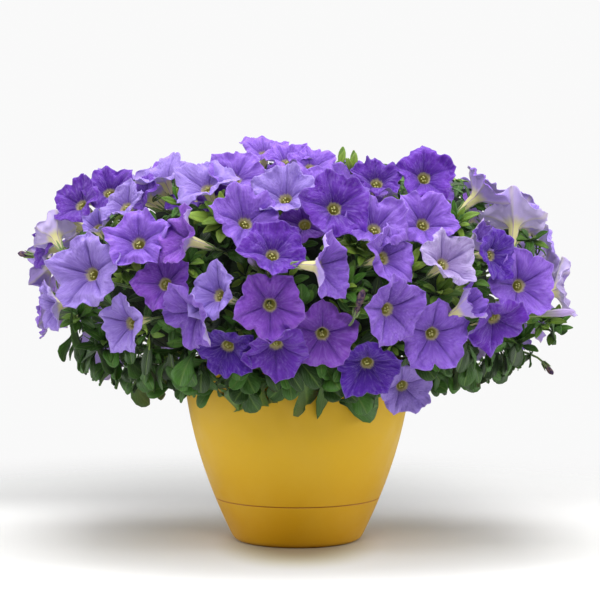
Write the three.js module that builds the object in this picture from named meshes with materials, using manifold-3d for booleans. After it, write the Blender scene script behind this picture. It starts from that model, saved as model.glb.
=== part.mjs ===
// A petunia in a tapered pot that stands on its fitted saucer. Millimetres, +Z up.
// The origin is the middle of the saucer's foot, on the floor. The front is -Y and +X is to its right.
import * as THREE from "three";
import { mergeVertices } from "three/addons/utils/BufferGeometryUtils.js";
import Module from "manifold-3d";

const wasm = await Module();
wasm.setup();

// Clearances
const gap = 0.35; // between pieces that touch
const margin = 0.55; // how much a grown copy stands out all round
const sliver = 0.04; // corners and faces finer than this merge into their neighbours

// Pot and saucer: their sides lie on one curve, radius = foot + slope * z - curl * z * z
const side = { foot: 67.4, slope: 0.515, curl: 0.00117 };
const facets = 24; // sides of the pot, the saucer and the soil
const seamHeight = 46;
const wall = 2.4;
const saucer = { flat: 61, round: 3, floor: 4.5 };
const pot = { floor: 17, floorThick: 3, lowerRadius: 69.5, shoulderRadius: 84 };
const rim = { under: 183, top: 192, radius: 127, edge: 1.5 };
const drain = { count: 5, radius: 5, ring: 46 };
const hangerHole = { count: 3, radius: 2.5, height: 175, turn: 90 };
const soil = { edge: 174, crown: 183, mound: 70 };

// Dome of blooms: half-widths along X and Y, with one curve above the widest level and one below
const dome = {
  across: 292,
  deep: 246,
  widest: 262,
  above: { reach: 153, power: 2.6 },
  below: { reach: 140, power: 1.6 },
};
const throatDepth = 12; // the throat's mouth lies this far under the dome
const viewer = new THREE.Vector3(0, -2100, 352); // where the front is seen from

// Bloom: shares of its petal radius, unless they say mm
const bloom = {
  lobes: 5,
  turn: 72,
  // Edge of one lobe from its tip on: degrees, share of the radius, ruffle
  lobe: [
    [0, 1, -0.05],
    [20, 0.965, 0.05],
    [36, 0.84, -0.05],
    [52, 0.965, 0.05],
  ],
  // The same for a bloom behind, from its notch on
  plainLobe: [
    [-36, 0.84, -0.05],
    [-14, 1, 0.05],
    [14, 1, -0.02],
  ],
  middle: 0.52,
  middleHeight: 0.2,
  edgeHeight: 0.33,
  throatMm: 4.8,
  throatDeepMm: 9,
  neckMm: 6.3,
  neckDropMm: 1.6,
  tube: 0.88,
};
const calyx = { depth: 4, radius: 3.6 };
const bud = { sides: 5, least: 2.4, most: 4.2, swell: 0.05, neck: 0.62, widest: 0.7, sunk: 1.5, depth: 18 };
const stem = {
  trunk: 4.6,
  pedicel: 1.9,
  leafStalk: 2.3,
  ring: 60,
  top: 215,
  root: 140,
  knee: 0.45,
  // Ways that a flower stalk is tried: how far it runs straight, and where it meets the core
  reaches: [20, 32, 12, 44],
  asides: [-13, 0, 13],
  targets: 8,
  behind: 22,
};
// The dense inside of each leafy stem, which its leaves stand out of
const core = {
  // Height, share of the dome's width
  rows: [
    [206, 0.45],
    [226, 0.66],
    [262, 0.73],
    [306, 0.7],
    [342, 0.56],
    [364, 0.3],
  ],
  bottom: 200,
  top: 370,
  bump: 0.035,
  apart: 1.5,
  root: 0.86,
};
// Blade of a leaf, as shares: place along it, half-width, height of the edge and of the rib
const blade = {
  inner: { at: 0.36, wide: 0.72, rise: 1, rib: 0.55 },
  outer: { at: 0.72, wide: 0.94, rise: 1.1, rib: 0.65 },
};
const leafy = {
  count: 8,
  thick: 1.3,
  broad: 0.54,
  arch: 0.07,
  length: { least: 50, most: 72 },
  lean: { least: 0.3, most: 0.85 },
  root: 0.945,
  sunk: 8, // cubic millimetres of a leaf inside its core, at least
  upward: 1.3,
  above: 10,
  trials: 14,
  spiral: 0.381966, // share of a turn from one trial to the next
  rows: [
    { level: 0.7, asides: [-12, 4] },
    { level: 1.5, asides: [-14, 0, 14] },
    { level: 2.2, asides: [-15, -4, 8] },
    { level: 2.9, asides: [-10, 2, 15] },
    { level: 3.6, asides: [-15, -2, 12] },
    { level: 4.3, asides: [-12, 2, 14] },
    { level: 4.9, asides: [-8, 10] },
  ],
};
// Blooms that press against a neighbour share its node. The costs are for one that meets none of its own.
const sharing = { nodes: 44, most: 5, near: 1.4, least: 0.5, loose: 1e4 };

// Blooms of the front. Each row: millimetres across and up, seen on the plane through the pot's axis, width,
// turn to the right, tip upwards and roll in degrees, millimetres ahead of the dome, opening.
const frontBlooms = [
  [-232, 359, 54, -35, 32, 0, 4, 1],
  [-201, 372, 54, -5, 40, 20, -26, 1],
  [-184, 357, 50, -35, 42, 0, 0, 1],
  [-162, 366, 50, -60, 30, 15, -30, 1],
  [-142, 386, 56, -100, 34, 10, -18, 1],
  [-97, 377, 64, -25, 48, 0, 10, 1],
  [-66, 387, 62, 20, 46, 36, -6, 1],
  [-85, 364, 52, 15, 35, 10, -30, 1],
  [-35, 414, 50, 10, 62, 0, -20, 1],
  [-11, 405, 50, 12, 58, 20, -20, 1],
  [15, 399, 50, 20, 52, 0, -20, 1],
  [-13, 366, 62, -12, 42, 0, 0, 1],
  [-55, 340, 70, 18, 36, 10, 8, 1],
  [-170, 318, 64, -8, 32, 5, 4, 1],
  [-110, 321, 62, -62, 16, 0, 12, 0.92],
  [-259, 324, 46, -150, 38, 0, -10, 0.95],
  [-268, 312, 46, -85, 4, 10, -20, 1],
  [-228, 280, 76, -26, 14, 8, 16, 1],
  [-258, 251, 54, -105, -12, 0, -4, 0.95],
  [-213, 334, 34, -20, 40, 0, -6, 0.7],
  [-180, 231, 60, -44, -8, 0, 8, 0.96],
  [-142, 274, 56, -15, 14, 20, -10, 1],
  [-107, 240, 70, -46, -26, 12, 12, 1],
  [-85, 262, 60, -40, 16, 0, 4, 0.95],
  [-26, 306, 66, 12, 38, 25, 14, 1],
  [-29, 251, 65, 3, -3, 36, 10, 1],
  [27, 220, 65, 2, -8, 0, 4, 1],
  [-75, 206, 58, -14, -30, 10, 2, 1],
  [-19, 207, 64, 4, -42, 36, 12, 1],
  [40, 355, 68, 10, 22, 10, 14, 1],
  [28, 291, 66, 62, -4, 0, 8, 0.92],
  [8, 338, 48, 0, 30, 15, -22, 1],
  [85, 382, 52, 8, 40, 0, -4, 0.92],
  [83, 334, 66, 14, 42, 20, 2, 1],
  [94, 302, 64, 44, 14, 0, 12, 0.94],
  [98, 246, 70, 34, -8, 10, 14, 1],
  [75, 188, 62, 0, -26, 0, 6, 1],
  [115, 170, 54, 22, -52, 15, -12, 1],
  [145, 220, 69, 12, -8, 0, 2, 1],
  [139, 388, 60, 10, 26, 0, 0, 1],
  [135, 338, 64, 14, 28, 36, -4, 1],
  [157, 296, 60, 34, 28, 0, 10, 0.95],
  [193, 368, 58, 82, 38, 0, -6, 0.9],
  [232, 338, 70, 165, 64, 0, -16, 1],
  [208, 305, 54, 48, 2, 0, 8, 1],
  [238, 272, 70, 18, 6, 12, 6, 1],
  [176, 246, 48, 58, 28, 0, 4, 0.62],
  [212, 235, 64, 24, -38, 36, 6, 1],
  [278, 266, 60, 88, 10, 0, -12, 1],
  [189, 317, 44, 60, 22, 0, -22, 0.7],
];

// Blooms of the back: rows of the dome as height, how many, and tip upwards
const backRows = [
  { height: 205, count: 8, tip: -16 },
  { height: 246, count: 9, tip: 2 },
  { height: 290, count: 9, tip: 16 },
  { height: 334, count: 8, tip: 30 },
  { height: 370, count: 6, tip: 46 },
  { height: 396, count: 5, tip: 62 },
];
// Blooms on top: rings round the axis, or a fan of one, in degrees from straight behind
const crownRings = [
  { radius: 32, count: 3, fan: 360, middle: 0 },
  { radius: 96, count: 7, fan: 360, middle: 0 },
  { radius: 152, count: 5, fan: 160, middle: 180 },
];
const crown = { tip: 76, lean: 0.2, sink: 24 }; // degrees up at the axis, and fewer for each millimetre out
const backFan = 95; // degrees each way from straight behind
const sideSink = { from: 0.7, depth: 52 }; // past this share of the fan, a row's blooms lie deeper
const backWidth = { least: 56, most: 70 };
const backSwing = { place: 5, facing: 22 }; // chance in place, and in degrees of turn and tip
const crownSwing = 10;
const rolledOn = { 107: -7, 208: 8, 823: 6 }; // blooms by id, and the degrees that they are rolled further

// Buds and spent blooms: across, up, length, turn, tip
const frontBuds = [
  [-298, 304, 16, -80, 10],
  [264, 189, 18, 40, -40],
  [272, 240, 52, 84, 4],
  [62, 240, 34, 20, 50],
  [-42, 290, 18, -40, 40],
];

// Leaves of the lower fringe in front: base across and up, tip across and up, breadth
const fringeLeaves = [
  [-241, 248, -233, 205, 15],
  [-217, 214, -198, 181, 17],
  [-212, 204, -229, 194, 15],
  [-185, 203, -168, 179, 26],
  [-171, 180, -162, 146, 17],
  [-158, 187, -144, 155, 20],
  [-136, 198, -120, 160, 30],
  [-104, 182, -94, 160, 20],
  [-62, 166, -69, 140, 17],
  [-35, 162, -53, 130, 22],
  [-24, 155, -38, 122, 21],
  [3, 187, 11, 144, 32],
  [29, 166, 38, 136, 26],
  [83, 147, 56, 122, 24],
  [45, 144, 88, 144, 22],
  [174, 190, 163, 165, 18],
  [182, 203, 180, 173, 15],
  [211, 186, 193, 173, 17],
  [254, 203, 233, 187, 17],
  [249, 203, 249, 184, 12],
  [270, 235, 272, 214, 16],
  [281, 233, 284, 219, 14],
];
const backFringe = { count: 13, fan: 82, height: 196, drop: 34, breadth: 22 };
const fringe = {
  insets: [0, 8, 16, 26, 38], // how far in a leaf is tried
  rootDepth: 16,
  tipDepth: 8,
  past: 4,
  joint: 0.2,
  bend: 0.4,
  turn: 0.33,
  tip: 10,
  swing: 24,
};

const colours = {
  pot: 0xd9a93a,
  soil: 0x3a2a1e,
  leaf: 0x3c6a22,
  petal: 0x7a55c8,
};

const placeSteps = [0, 3, -3, 6, -6, 9, -9, 12, -12, 15, -15, 18, -18, 22, -22, 26, -26, 30];
const toRadians = THREE.MathUtils.degToRad;
const up = new THREE.Vector3(0, 0, 1);

// The same number from 0 to 1 for the same pair of counts
function chance(row, column) {
  const wave = 43758.5453 * Math.sin(12.9898 * (row + 1) + 78.233 * (column + 1));
  return wave - Math.floor(wave);
}

function between({ least, most }, share) {
  return least + (most - least) * share;
}

function swing(row, column, reach) {
  return reach * (2 * chance(row, column) - 1);
}

// A closed geometry as a solid: shared corners merged, collapsed faces dropped
function solidOf(geometry) {
  const bare = geometry.clone();
  bare.deleteAttribute("normal");
  bare.deleteAttribute("uv");
  const merged = mergeVertices(bare, 1e-4);
  const corners = merged.index.array;
  const faces = [];
  for (let i = 0; i < corners.length; i += 3) {
    const [a, b, c] = corners.slice(i, i + 3);
    if (a !== b && b !== c && c !== a) faces.push(a, b, c);
  }
  const vertProperties = new Float32Array(merged.attributes.position.array);
  return new wasm.Manifold(
    new wasm.Mesh({ numProp: 3, vertProperties, triVerts: new Uint32Array(faces) }),
  );
}

function solidFrom(points, faces) {
  const geometry = new THREE.BufferGeometry().setFromPoints(points);
  geometry.setIndex(faces.flat());
  return solidOf(geometry);
}

function geometryOf(solid) {
  const mesh = solid.getMesh();
  const geometry = new THREE.BufferGeometry();
  geometry.setAttribute("position", new THREE.BufferAttribute(mesh.vertProperties, 3));
  geometry.setIndex(new THREE.BufferAttribute(mesh.triVerts, 1));
  geometry.computeVertexNormals();
  return geometry;
}

function largestBody(solid) {
  return solid.decompose().reduce((best, body) => (body.volume() > best.volume() ? body : best));
}

// Profile points are radius and height
function turned(profile) {
  const points = profile.map(([radius, height]) => new THREE.Vector2(radius, height));
  return solidOf(new THREE.LatheGeometry(points, facets).rotateX(Math.PI / 2));
}

function sideRadius(height) {
  return side.foot + side.slope * height - side.curl * height * height;
}

function sidePoints(from, to, steps, inset) {
  return Array.from({ length: steps + 1 }, (_, i) => {
    const height = from + ((to - from) * i) / steps;
    return [sideRadius(height) - inset, height];
  });
}

function saucerSolid() {
  const top = seamHeight;
  return turned([
    [0, 0],
    [saucer.flat, 0],
    [saucer.flat + saucer.round, saucer.round * 0.3],
    ...sidePoints(saucer.round, top, 3, 0),
    ...sidePoints(top, saucer.floor + 2, 2, wall),
    [sideRadius(saucer.floor) - wall - 3, saucer.floor],
    [0, saucer.floor],
  ]);
}

function potSolid() {
  const shoulder = seamHeight + gap;
  const inner = pot.floor + pot.floorThick;
  const body = turned([
    [0, pot.floor],
    [pot.lowerRadius, pot.floor],
    [pot.shoulderRadius, shoulder],
    ...sidePoints(shoulder, rim.under, 4, 0),
    [rim.radius - rim.edge, rim.under],
    [rim.radius, rim.under + rim.edge],
    [rim.radius, rim.top - rim.edge],
    [rim.radius - rim.edge, rim.top],
    [sideRadius(rim.top) - wall, rim.top],
    ...sidePoints(rim.under, shoulder + 6, 2, wall),
    [pot.lowerRadius - wall + 1, inner],
    [0, inner],
  ]);
  return [...drainHoles(), ...hangerHoles()].reduce((left, hole) => left.subtract(hole), body);
}

function drainHoles() {
  return Array.from({ length: drain.count }, (_, i) => {
    const turn = (i / drain.count) * 2 * Math.PI;
    const hole = new THREE.CylinderGeometry(drain.radius, drain.radius, 4 * pot.floorThick, 8);
    hole.rotateX(Math.PI / 2);
    hole.translate(drain.ring * Math.cos(turn), drain.ring * Math.sin(turn), pot.floor);
    return solidOf(hole);
  });
}

function hangerHoles() {
  return Array.from({ length: hangerHole.count }, (_, i) => {
    const turn = toRadians(hangerHole.turn + (i * 360) / hangerHole.count);
    const hole = new THREE.CylinderGeometry(hangerHole.radius, hangerHole.radius, 20, 6);
    hole.translate(0, sideRadius(hangerHole.height), 0);
    hole.rotateZ(turn - Math.PI / 2);
    hole.translate(0, 0, hangerHole.height);
    return solidOf(hole);
  });
}

function soilSolid() {
  const floor = pot.floor + pot.floorThick + gap;
  const body = turned([
    [0, floor],
    [pot.lowerRadius - wall - 1, floor],
    ...sidePoints(seamHeight + 6, soil.edge, 2, wall + 2 * gap),
    [soil.mound, (soil.edge + soil.crown) / 2 + 2],
    [0, soil.crown],
  ]);
  return trunkLines.reduce((left, line) => left.subtract(tube(line, stem.trunk + 2 * gap, 5, 1)), body);
}

// A closed tube of a few sides along a curve
function tube(curve, radius, sides, steps) {
  const corners = Array.from({ length: sides }, (_, i) => {
    const turn = (i / sides) * 2 * Math.PI;
    return new THREE.Vector2(radius * Math.cos(turn), radius * Math.sin(turn));
  });
  const settings = { steps, extrudePath: curve, bevelEnabled: false };
  return solidOf(new THREE.ExtrudeGeometry(new THREE.Shape(corners), settings));
}

// Directions and places

function facingOf(turn, tip) {
  const [t, e] = [toRadians(turn), toRadians(tip)];
  return new THREE.Vector3(Math.sin(t) * Math.cos(e), -Math.cos(t) * Math.cos(e), Math.sin(e));
}

// Right, up and out of something that faces a direction
function axesOf(facing) {
  const right = new THREE.Vector3().crossVectors(up, facing).normalize();
  const over = new THREE.Vector3().crossVectors(facing, right);
  return { right, over, facing };
}

function placed(at, axes, x, y, z) {
  const point = at.clone().addScaledVector(axes.facing, z);
  return point.addScaledVector(axes.right, x).addScaledVector(axes.over, y);
}

// The dome's size at a height, as a share of its widest
function domeShare(height) {
  const half = height > dome.widest ? dome.above : dome.below;
  const share = Math.min(1, Math.abs(height - dome.widest) / half.reach);
  return (1 - share ** half.power) ** (1 / half.power);
}

// Where the line of sight through a point of the plane through the axis meets the dome
function seenOnDome(across, height, inset) {
  const onPlane = new THREE.Vector3(across, 0, height);
  const point = onPlane.clone();
  for (let i = 0; i < 12; i += 1) {
    const share = domeShare(point.z);
    const left = Math.max(0, share ** 2 - (point.x / dome.across) ** 2);
    const depth = Math.min(0, inset - dome.deep * Math.sqrt(left));
    point.lerpVectors(viewer, onPlane, (depth - viewer.y) / -viewer.y);
  }
  return point;
}

function onBackDome(turn, height, inset) {
  const share = domeShare(height);
  const t = toRadians(turn);
  const across = (dome.across * share - inset) * Math.sin(t);
  return new THREE.Vector3(across, (dome.deep * share - inset) * Math.cos(t), height);
}

// Every bloom: its throat's mouth, the way it faces and the line that it may be moved along
function bloomPlans() {
  const front = frontBlooms.map(([across, height, width, turn, tip, roll, ahead, open], i) => {
    const at = seenOnDome(across, height, throatDepth);
    const along = viewer.clone().sub(at).normalize();
    at.addScaledVector(along, ahead);
    return { at, along, facing: facingOf(turn, tip), radius: width / 2, roll, open, id: i };
  });
  const back = backRows.flatMap((row, r) =>
    Array.from({ length: row.count }, (_, i) => {
      const id = 100 * (r + 1) + i;
      const spread = ((2 * i) / (row.count - 1) - 1) * backFan;
      const turn = spread + swing(id, 1, backSwing.place);
      const sink = sideSink.depth * Math.max(0, Math.abs(turn) / backFan - sideSink.from);
      const at = onBackDome(turn, row.height + swing(id, 5, backSwing.place), throatDepth + sink);
      const tip = row.tip + swing(id, 3, backSwing.facing);
      return plainPlan(id, at, facingOf(180 - turn + swing(id, 2, backSwing.facing), tip));
    }),
  );
  return [...front, ...back, ...crownPlans()];
}

// A bloom that the front view doesn't show
function plainPlan(id, at, facing) {
  const radius = between(backWidth, chance(id, 4)) / 2;
  const roll = bloom.turn * chance(id, 6) + (rolledOn[id] ?? 0);
  return { at, along: facing, facing, radius, roll, open: 1, id, behind: true };
}

function crownPlans() {
  return crownRings.flatMap(({ radius, count, fan, middle }, r) =>
    Array.from({ length: count }, (_, i) => {
      const id = 800 + 20 * r + i;
      const turn = middle + fan * ((i + 0.5) / count - 0.5) + swing(id, 1, crownSwing);
      const t = toRadians(turn);
      const height = crownHeight(radius) - crown.sink;
      const at = new THREE.Vector3(radius * Math.sin(t), radius * Math.cos(t), height);
      const facing = facingOf(180 - turn, crown.tip - radius * crown.lean + swing(id, 2, crownSwing));
      return plainPlan(id, at, facing);
    }),
  );
}

// The dome's height at a distance from the axis
function crownHeight(radius) {
  const { reach, power } = dome.above;
  return dome.widest + reach * (1 - (radius / dome.across) ** power) ** (1 / power);
}

// A bloom with five shallow lobes, a throat and a tube. It faces its own +Z, with the throat's mouth at 0.
// A grown copy stands out all round by the margin, with its throat filled.
function bloomSolid(plan, grow = 0) {
  const { at, radius, open } = plan;
  const axes = axesOf(plan.facing);
  const count = bloom.lobes;
  const ringPoint = (degrees, r, z) => {
    const t = toRadians(degrees + 90 + plan.roll);
    return placed(at, axes, r * Math.cos(t), r * Math.sin(t), z);
  };
  const lift = (share, reach) => radius * (share + (1 - open) * reach);
  const wide = 0.4 + 0.6 * open;
  const outline = plan.behind ? bloom.plainLobe : bloom.lobe;
  const edge = (k, dz) =>
    outline.map(([degrees, share, ruffle], i) => {
      const rise = lift(bloom.edgeHeight, 1.5) + dz + ruffle * radius * chance(plan.id, k + 10 * i);
      return ringPoint((360 / count) * k + degrees, radius * wide * share + grow, rise);
    });
  const half = outline[0][0] + 180 / count;
  const ring = (r, z) => Array.from({ length: count }, (_, k) => ringPoint((360 / count) * k + half, r, z));
  const edges = (dz) => Array.from({ length: count }, (_, k) => edge(k, dz)).flat();
  const middle = radius * bloom.middle * (0.55 + 0.45 * open);
  const middleHeight = lift(bloom.middleHeight, 0.6);
  const length = bloom.tube * radius;
  const mouth = plan.behind ? [] : ring(bloom.throatMm, grow);
  const points = [
    ...edges(grow),
    ...ring(middle, middleHeight + grow),
    ...mouth,
    placed(at, axes, 0, 0, grow ? grow : -bloom.throatDeepMm),
    ...ring(bloom.neckMm + grow, -bloom.neckDropMm - grow),
    placed(at, axes, 0, 0, -length - 2 * grow),
    ...(grow ? edges(-grow) : []),
  ];
  const side = outline.length;
  const middleRow = side * count;
  const throat = middleRow + count;
  const floor = throat + mouth.length;
  const neck = floor + 1;
  const end = neck + count;
  const backEdge = grow ? end + 1 : 0;
  const faces = [];
  for (let k = 0; k < count; k += 1) {
    const next = (k + 1) % count;
    const last = (k + count - 1) % count;
    for (let step = 0; step < side; step += 1) {
      const a = side * k + step;
      const b = (a + 1) % middleRow;
      faces.push([middleRow + k, a, b], [neck + k, backEdge + b, backEdge + a]);
      if (grow) faces.push([a, backEdge + a, b], [b, backEdge + a, backEdge + b]);
    }
    faces.push([middleRow + last, side * k, middleRow + k], [neck + last, neck + k, backEdge + side * k]);
    faces.push([neck + k, end, neck + next]);
    if (plan.behind) {
      faces.push([middleRow + k, middleRow + next, floor]);
    } else {
      faces.push([middleRow + k, middleRow + next, throat + k], [throat + k, throat + next, floor]);
      faces.push([middleRow + next, throat + next, throat + k]);
    }
  }
  return solidFrom(points, faces);
}

// A flower stalk of three sides that flares into the calyx under a tube or a bud
function stalkSolid(curve, end, facing, roll, straight, grow = 0) {
  const axes = axesOf(facing);
  const ring = (at, frame, radius, z) =>
    [0, 1, 2].map((k) => {
      const t = toRadians(120 * k + roll);
      return placed(at, frame, radius * Math.cos(t), radius * Math.sin(t), z);
    });
  const frameAt = (share) => {
    const back = curve.getTangent(share).negate();
    const right = axes.right.clone().addScaledVector(back, -axes.right.dot(back)).normalize();
    return { right, over: back.clone().cross(right), facing: back };
  };
  const thin = stem.pedicel + 2 * grow;
  const knee = straight ? [] : ring(curve.getPoint(stem.knee), frameAt(stem.knee), thin, 0);
  const points = [
    ...ring(end, axes, calyx.radius + 2 * grow, grow - gap),
    ...knee,
    ...ring(curve.getPoint(1), frameAt(1), 0.6 * thin, 0),
  ];
  const last = points.length - 3;
  const faces = [[0, 1, 2], [last, last + 2, last + 1]];
  for (let k = 0; k < 3; k += 1) {
    const next = (k + 1) % 3;
    for (let row = 3; row <= last; row += 3) {
      faces.push([row + k, row - 3 + next, row - 3 + k], [row + k, row + next, row - 3 + next]);
    }
  }
  return solidFrom(points, faces);
}

// A bud of five sides, or a spent bloom
function budSolid(end, facing, length) {
  const axes = axesOf(facing);
  const ring = (r, z) =>
    Array.from({ length: bud.sides }, (_, k) => {
      const t = ((2 * Math.PI) / bud.sides) * k;
      return placed(end, axes, r * Math.cos(t), r * Math.sin(t), z);
    });
  const radius = Math.min(bud.most, bud.least + length * bud.swell);
  const points = [
    placed(end, axes, 0, 0, -bud.sunk),
    ...ring(radius * bud.neck, bud.sunk),
    ...ring(radius, bud.widest * length),
    placed(end, axes, 0, 0, length),
  ];
  const [low, high, tip] = [1, 1 + bud.sides, 1 + 2 * bud.sides];
  const faces = [];
  for (let k = 0; k < bud.sides; k += 1) {
    const next = (k + 1) % bud.sides;
    faces.push([0, low + next, low + k], [low + k, low + next, high + k]);
    faces.push([low + next, high + next, high + k], [high + k, high + next, tip]);
  }
  return solidFrom(points, faces);
}

function leafAxes({ base, tip, face }) {
  const along = tip.clone().sub(base).normalize();
  const across = along.clone().cross(face).normalize();
  return { along, across, out: across.clone().cross(along) };
}

// A point inside the blade on its midrib, no further out than the inner ribs
function onMidrib(leaf, share) {
  const { along, out } = leafAxes(leaf);
  const length = leaf.base.distanceTo(leaf.tip);
  const rise = (leafy.arch * length * blade.inner.rib * share) / blade.inner.at;
  return leaf.base.clone().addScaledVector(along, share * length).addScaledVector(out, rise);
}

// An arched blade with a pointed root, split alike on both faces
function leafSolid(leaf, grow = 0) {
  const { base, tip, breadth } = leaf;
  const { along, across, out } = leafAxes(leaf);
  const length = base.distanceTo(tip) + 3 * grow;
  const half = breadth / 2 + 2 * grow;
  const arch = leafy.arch * length;
  const thick = leafy.thick / 2 + grow;
  const at = (share, x, z) => {
    const point = base.clone().addScaledVector(along, share * length - grow);
    return point.addScaledVector(across, x).addScaledVector(out, z);
  };
  const edge = ({ at: share, wide, rise }, side) => at(share, side * wide * half, rise * arch);
  const rib = ({ at: share, rib: rise }, side) => at(share, 0, rise * arch + side * thick);
  const { inner, outer } = blade;
  const points = [
    at(0, 0, 0),
    edge(inner, -1),
    edge(outer, -1),
    at(1, 0, 0),
    edge(outer, 1),
    edge(inner, 1),
    rib(inner, 1),
    rib(outer, 1),
    rib(inner, -1),
    rib(outer, -1),
  ];
  const fan = (near, far) => [
    ...[[0, 5, near], [5, 4, far], [5, far, near], [4, 3, far]],
    ...[[3, 2, far], [2, 1, far], [far, 1, near], [1, 0, near]],
  ];
  const back = fan(8, 9).map(([a, b, c]) => [a, c, b]);
  return solidFrom(points, [...fan(6, 7), ...back]);
}

// Each leafy stem has a trunk in the soil and a core inside the dome, in a fan of its own

function fanTurn(k) {
  return -90 + (360 / leafy.count) * k;
}

function outwards(k, radius, height) {
  const turn = toRadians(fanTurn(k));
  return new THREE.Vector3(radius * Math.cos(turn), radius * Math.sin(turn), height);
}

function trunkLine(k, root) {
  return new THREE.LineCurve3(outwards(k, stem.ring, root), outwards(k, stem.ring, stem.top));
}

// A point of the core's surface, or inside it at a smaller scale; the level counts the core's rows from 0
function onCore(k, aside, level, scale) {
  const row = Math.min(core.rows.length - 2, Math.floor(level));
  const [low, high] = [core.rows[row], core.rows[row + 1]];
  const [height, share] = [0, 1].map((i) => low[i] + (high[i] - low[i]) * (level - row));
  const turn = toRadians(fanTurn(k) + aside);
  const rise = (height - dome.widest) * scale;
  return new THREE.Vector3(
    dome.across * share * scale * Math.cos(turn),
    dome.deep * share * scale * Math.sin(turn),
    dome.widest + rise,
  );
}

function coreSolid(k, grow = 0) {
  const half = 180 / leafy.count;
  const apart = outwards(k, core.apart - grow, 0);
  const rows = core.rows.length;
  const points = core.rows.flatMap((_, i) =>
    [-half, 0, half].map((aside, j) => {
      const scale = 1 + swing(10 * k + i, 80 + j, core.bump) + grow / 150;
      return onCore(k, aside, i, scale).add(apart);
    }),
  );
  const bottom = points.push(new THREE.Vector3(0, 0, core.bottom - grow).add(apart)) - 1;
  const top = points.push(new THREE.Vector3(0, 0, core.top + grow).add(apart)) - 1;
  const faces = [];
  for (let i = 0; i < rows - 1; i += 1) {
    for (let j = 0; j < 2; j += 1) {
      const a = 3 * i + j;
      faces.push([a, a + 1, a + 4], [a, a + 4, a + 3]);
    }
    faces.push([3 * i, 3 * i + 3, bottom], [3 * i + 5, 3 * i + 2, bottom]);
  }
  const last = 3 * (rows - 1);
  faces.push([last, last + 1, top], [last + 1, last + 2, top]);
  faces.push([last, top, bottom], [top, last + 2, bottom], [1, 0, bottom], [2, 1, bottom]);
  return solidFrom(points, faces);
}

// The leafy stem whose fan a point lies in
function fanOf(point) {
  const turn = THREE.MathUtils.radToDeg(Math.atan2(point.y, point.x)) + 90 + 360;
  return Math.round(turn / (360 / leafy.count)) % leafy.count;
}

// Everything placed so far, with the node that it goes to
const pieces = [];

function addPiece(solid, grown, node, kind) {
  const made = { solid, grown, node, kind, box: grown.boundingBox() };
  pieces.push(made);
  return made;
}

function boxesMeet(a, b) {
  return [0, 1, 2].every((i) => a.min[i] < b.max[i] && b.min[i] < a.max[i]);
}

function shared(a, b) {
  const common = a.intersect(b);
  const volume = common.volume();
  common.delete();
  return volume;
}

// How much of a solid lies inside the pieces that a test picks, with their clearance
function crossing(solid, test) {
  const box = solid.boundingBox();
  return pieces
    .filter((other) => boxesMeet(box, other.box) && test(other))
    .reduce((sum, other) => sum + shared(solid, other.grown), 0);
}

function pullsOf(plan) {
  return plan.behind ? [0, 0.12, 0.24] : [0, 0.06, 0.12];
}

// The places that a bloom may take: along its line, and nearer to a neighbour
function placesFor(plan, neighbour) {
  const pulls = neighbour ? pullsOf(plan) : [0];
  return pulls.flatMap((pull) =>
    placeSteps.map((step) => {
      const at = plan.at.clone().addScaledVector(plan.along, step);
      if (pull) at.lerp(neighbour.at, pull);
      return { at, cost: 0.3 * Math.abs(step) + 30 * pull };
    }),
  );
}

// Neighbours that can be made to meet share a node, easiest first, until few enough nodes are left
function shareNodes(plans) {
  const near = [];
  plans.forEach((plan, i) => {
    plan.group = { members: [plan] };
    plans.slice(i + 1).forEach((other) => {
      if (plan.at.distanceTo(other.at) > sharing.near * (plan.radius + other.radius)) return;
      const solid = bloomSolid(plan);
      const meets = ({ at }) => shared(solid, bloomSolid({ ...other, at })) > sharing.least;
      const meeting = placesFor(other, plan).find(meets);
      if (meeting) near.push({ plan, other, cost: meeting.cost });
    });
  });
  let count = plans.length;
  near.sort((p, q) => p.cost - q.cost);
  for (let size = 2; size <= sharing.most; size += 1) {
    near.forEach(({ plan, other }) => {
      const [a, b] = [plan.group, other.group];
      if (count <= sharing.nodes || a === b || a.members.length + b.members.length > size) return;
      b.members.forEach((member) => {
        member.group = a;
        a.members.push(member);
      });
      count -= 1;
    });
  }
}

// The place of one bloom that clears the other nodes and meets those of its own that are set
function bestPlace(plan, set, node) {
  const nearest = [...set].sort((a, b) => a.at.distanceTo(plan.at) - b.at.distanceTo(plan.at))[0];
  let best = null;
  for (const place of placesFor(plan, nearest)) {
    const solid = bloomSolid({ ...plan, at: place.at });
    const touch = set.reduce((sum, other) => sum + shared(solid, other.solid), 0);
    const loose = set.length > 0 && touch < sharing.least ? sharing.loose : 0;
    const others = crossing(solid, (other) => other.node !== node);
    const cost = others + loose + place.cost + 0.02 * touch;
    if (!best || cost < best.cost) best = { plan, at: place.at, solid, cost };
  }
  return best;
}

function placeBlooms(groups) {
  for (const [node, group] of groups.entries()) {
    const waiting = [...group.members];
    const set = [];
    while (waiting.length) {
      const choices = waiting.map((plan) => bestPlace(plan, set, node));
      const { plan, at, solid, cost } = choices.reduce((a, b) => (b.cost < a.cost ? b : a));
      if (cost >= sharing.loose) {
        waiting.forEach((member) => groups.push({ members: [member] }));
        break;
      }
      Object.assign(plan, { at, solid, cost });
      waiting.splice(waiting.indexOf(plan), 1);
      plan.piece = addPiece(solid, bloomSolid(plan, margin), node, "bloom");
      set.push(plan);
    }
    group.members = set;
  }
}

// Points inside a core, nearest to a point first
function coreTargets(k, from) {
  const spots = stem.asides.flatMap((aside) =>
    core.rows.map((_, level) => onCore(k, aside, level, core.root)),
  );
  return spots.sort((a, b) => a.distanceTo(from) - b.distanceTo(from));
}

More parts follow.
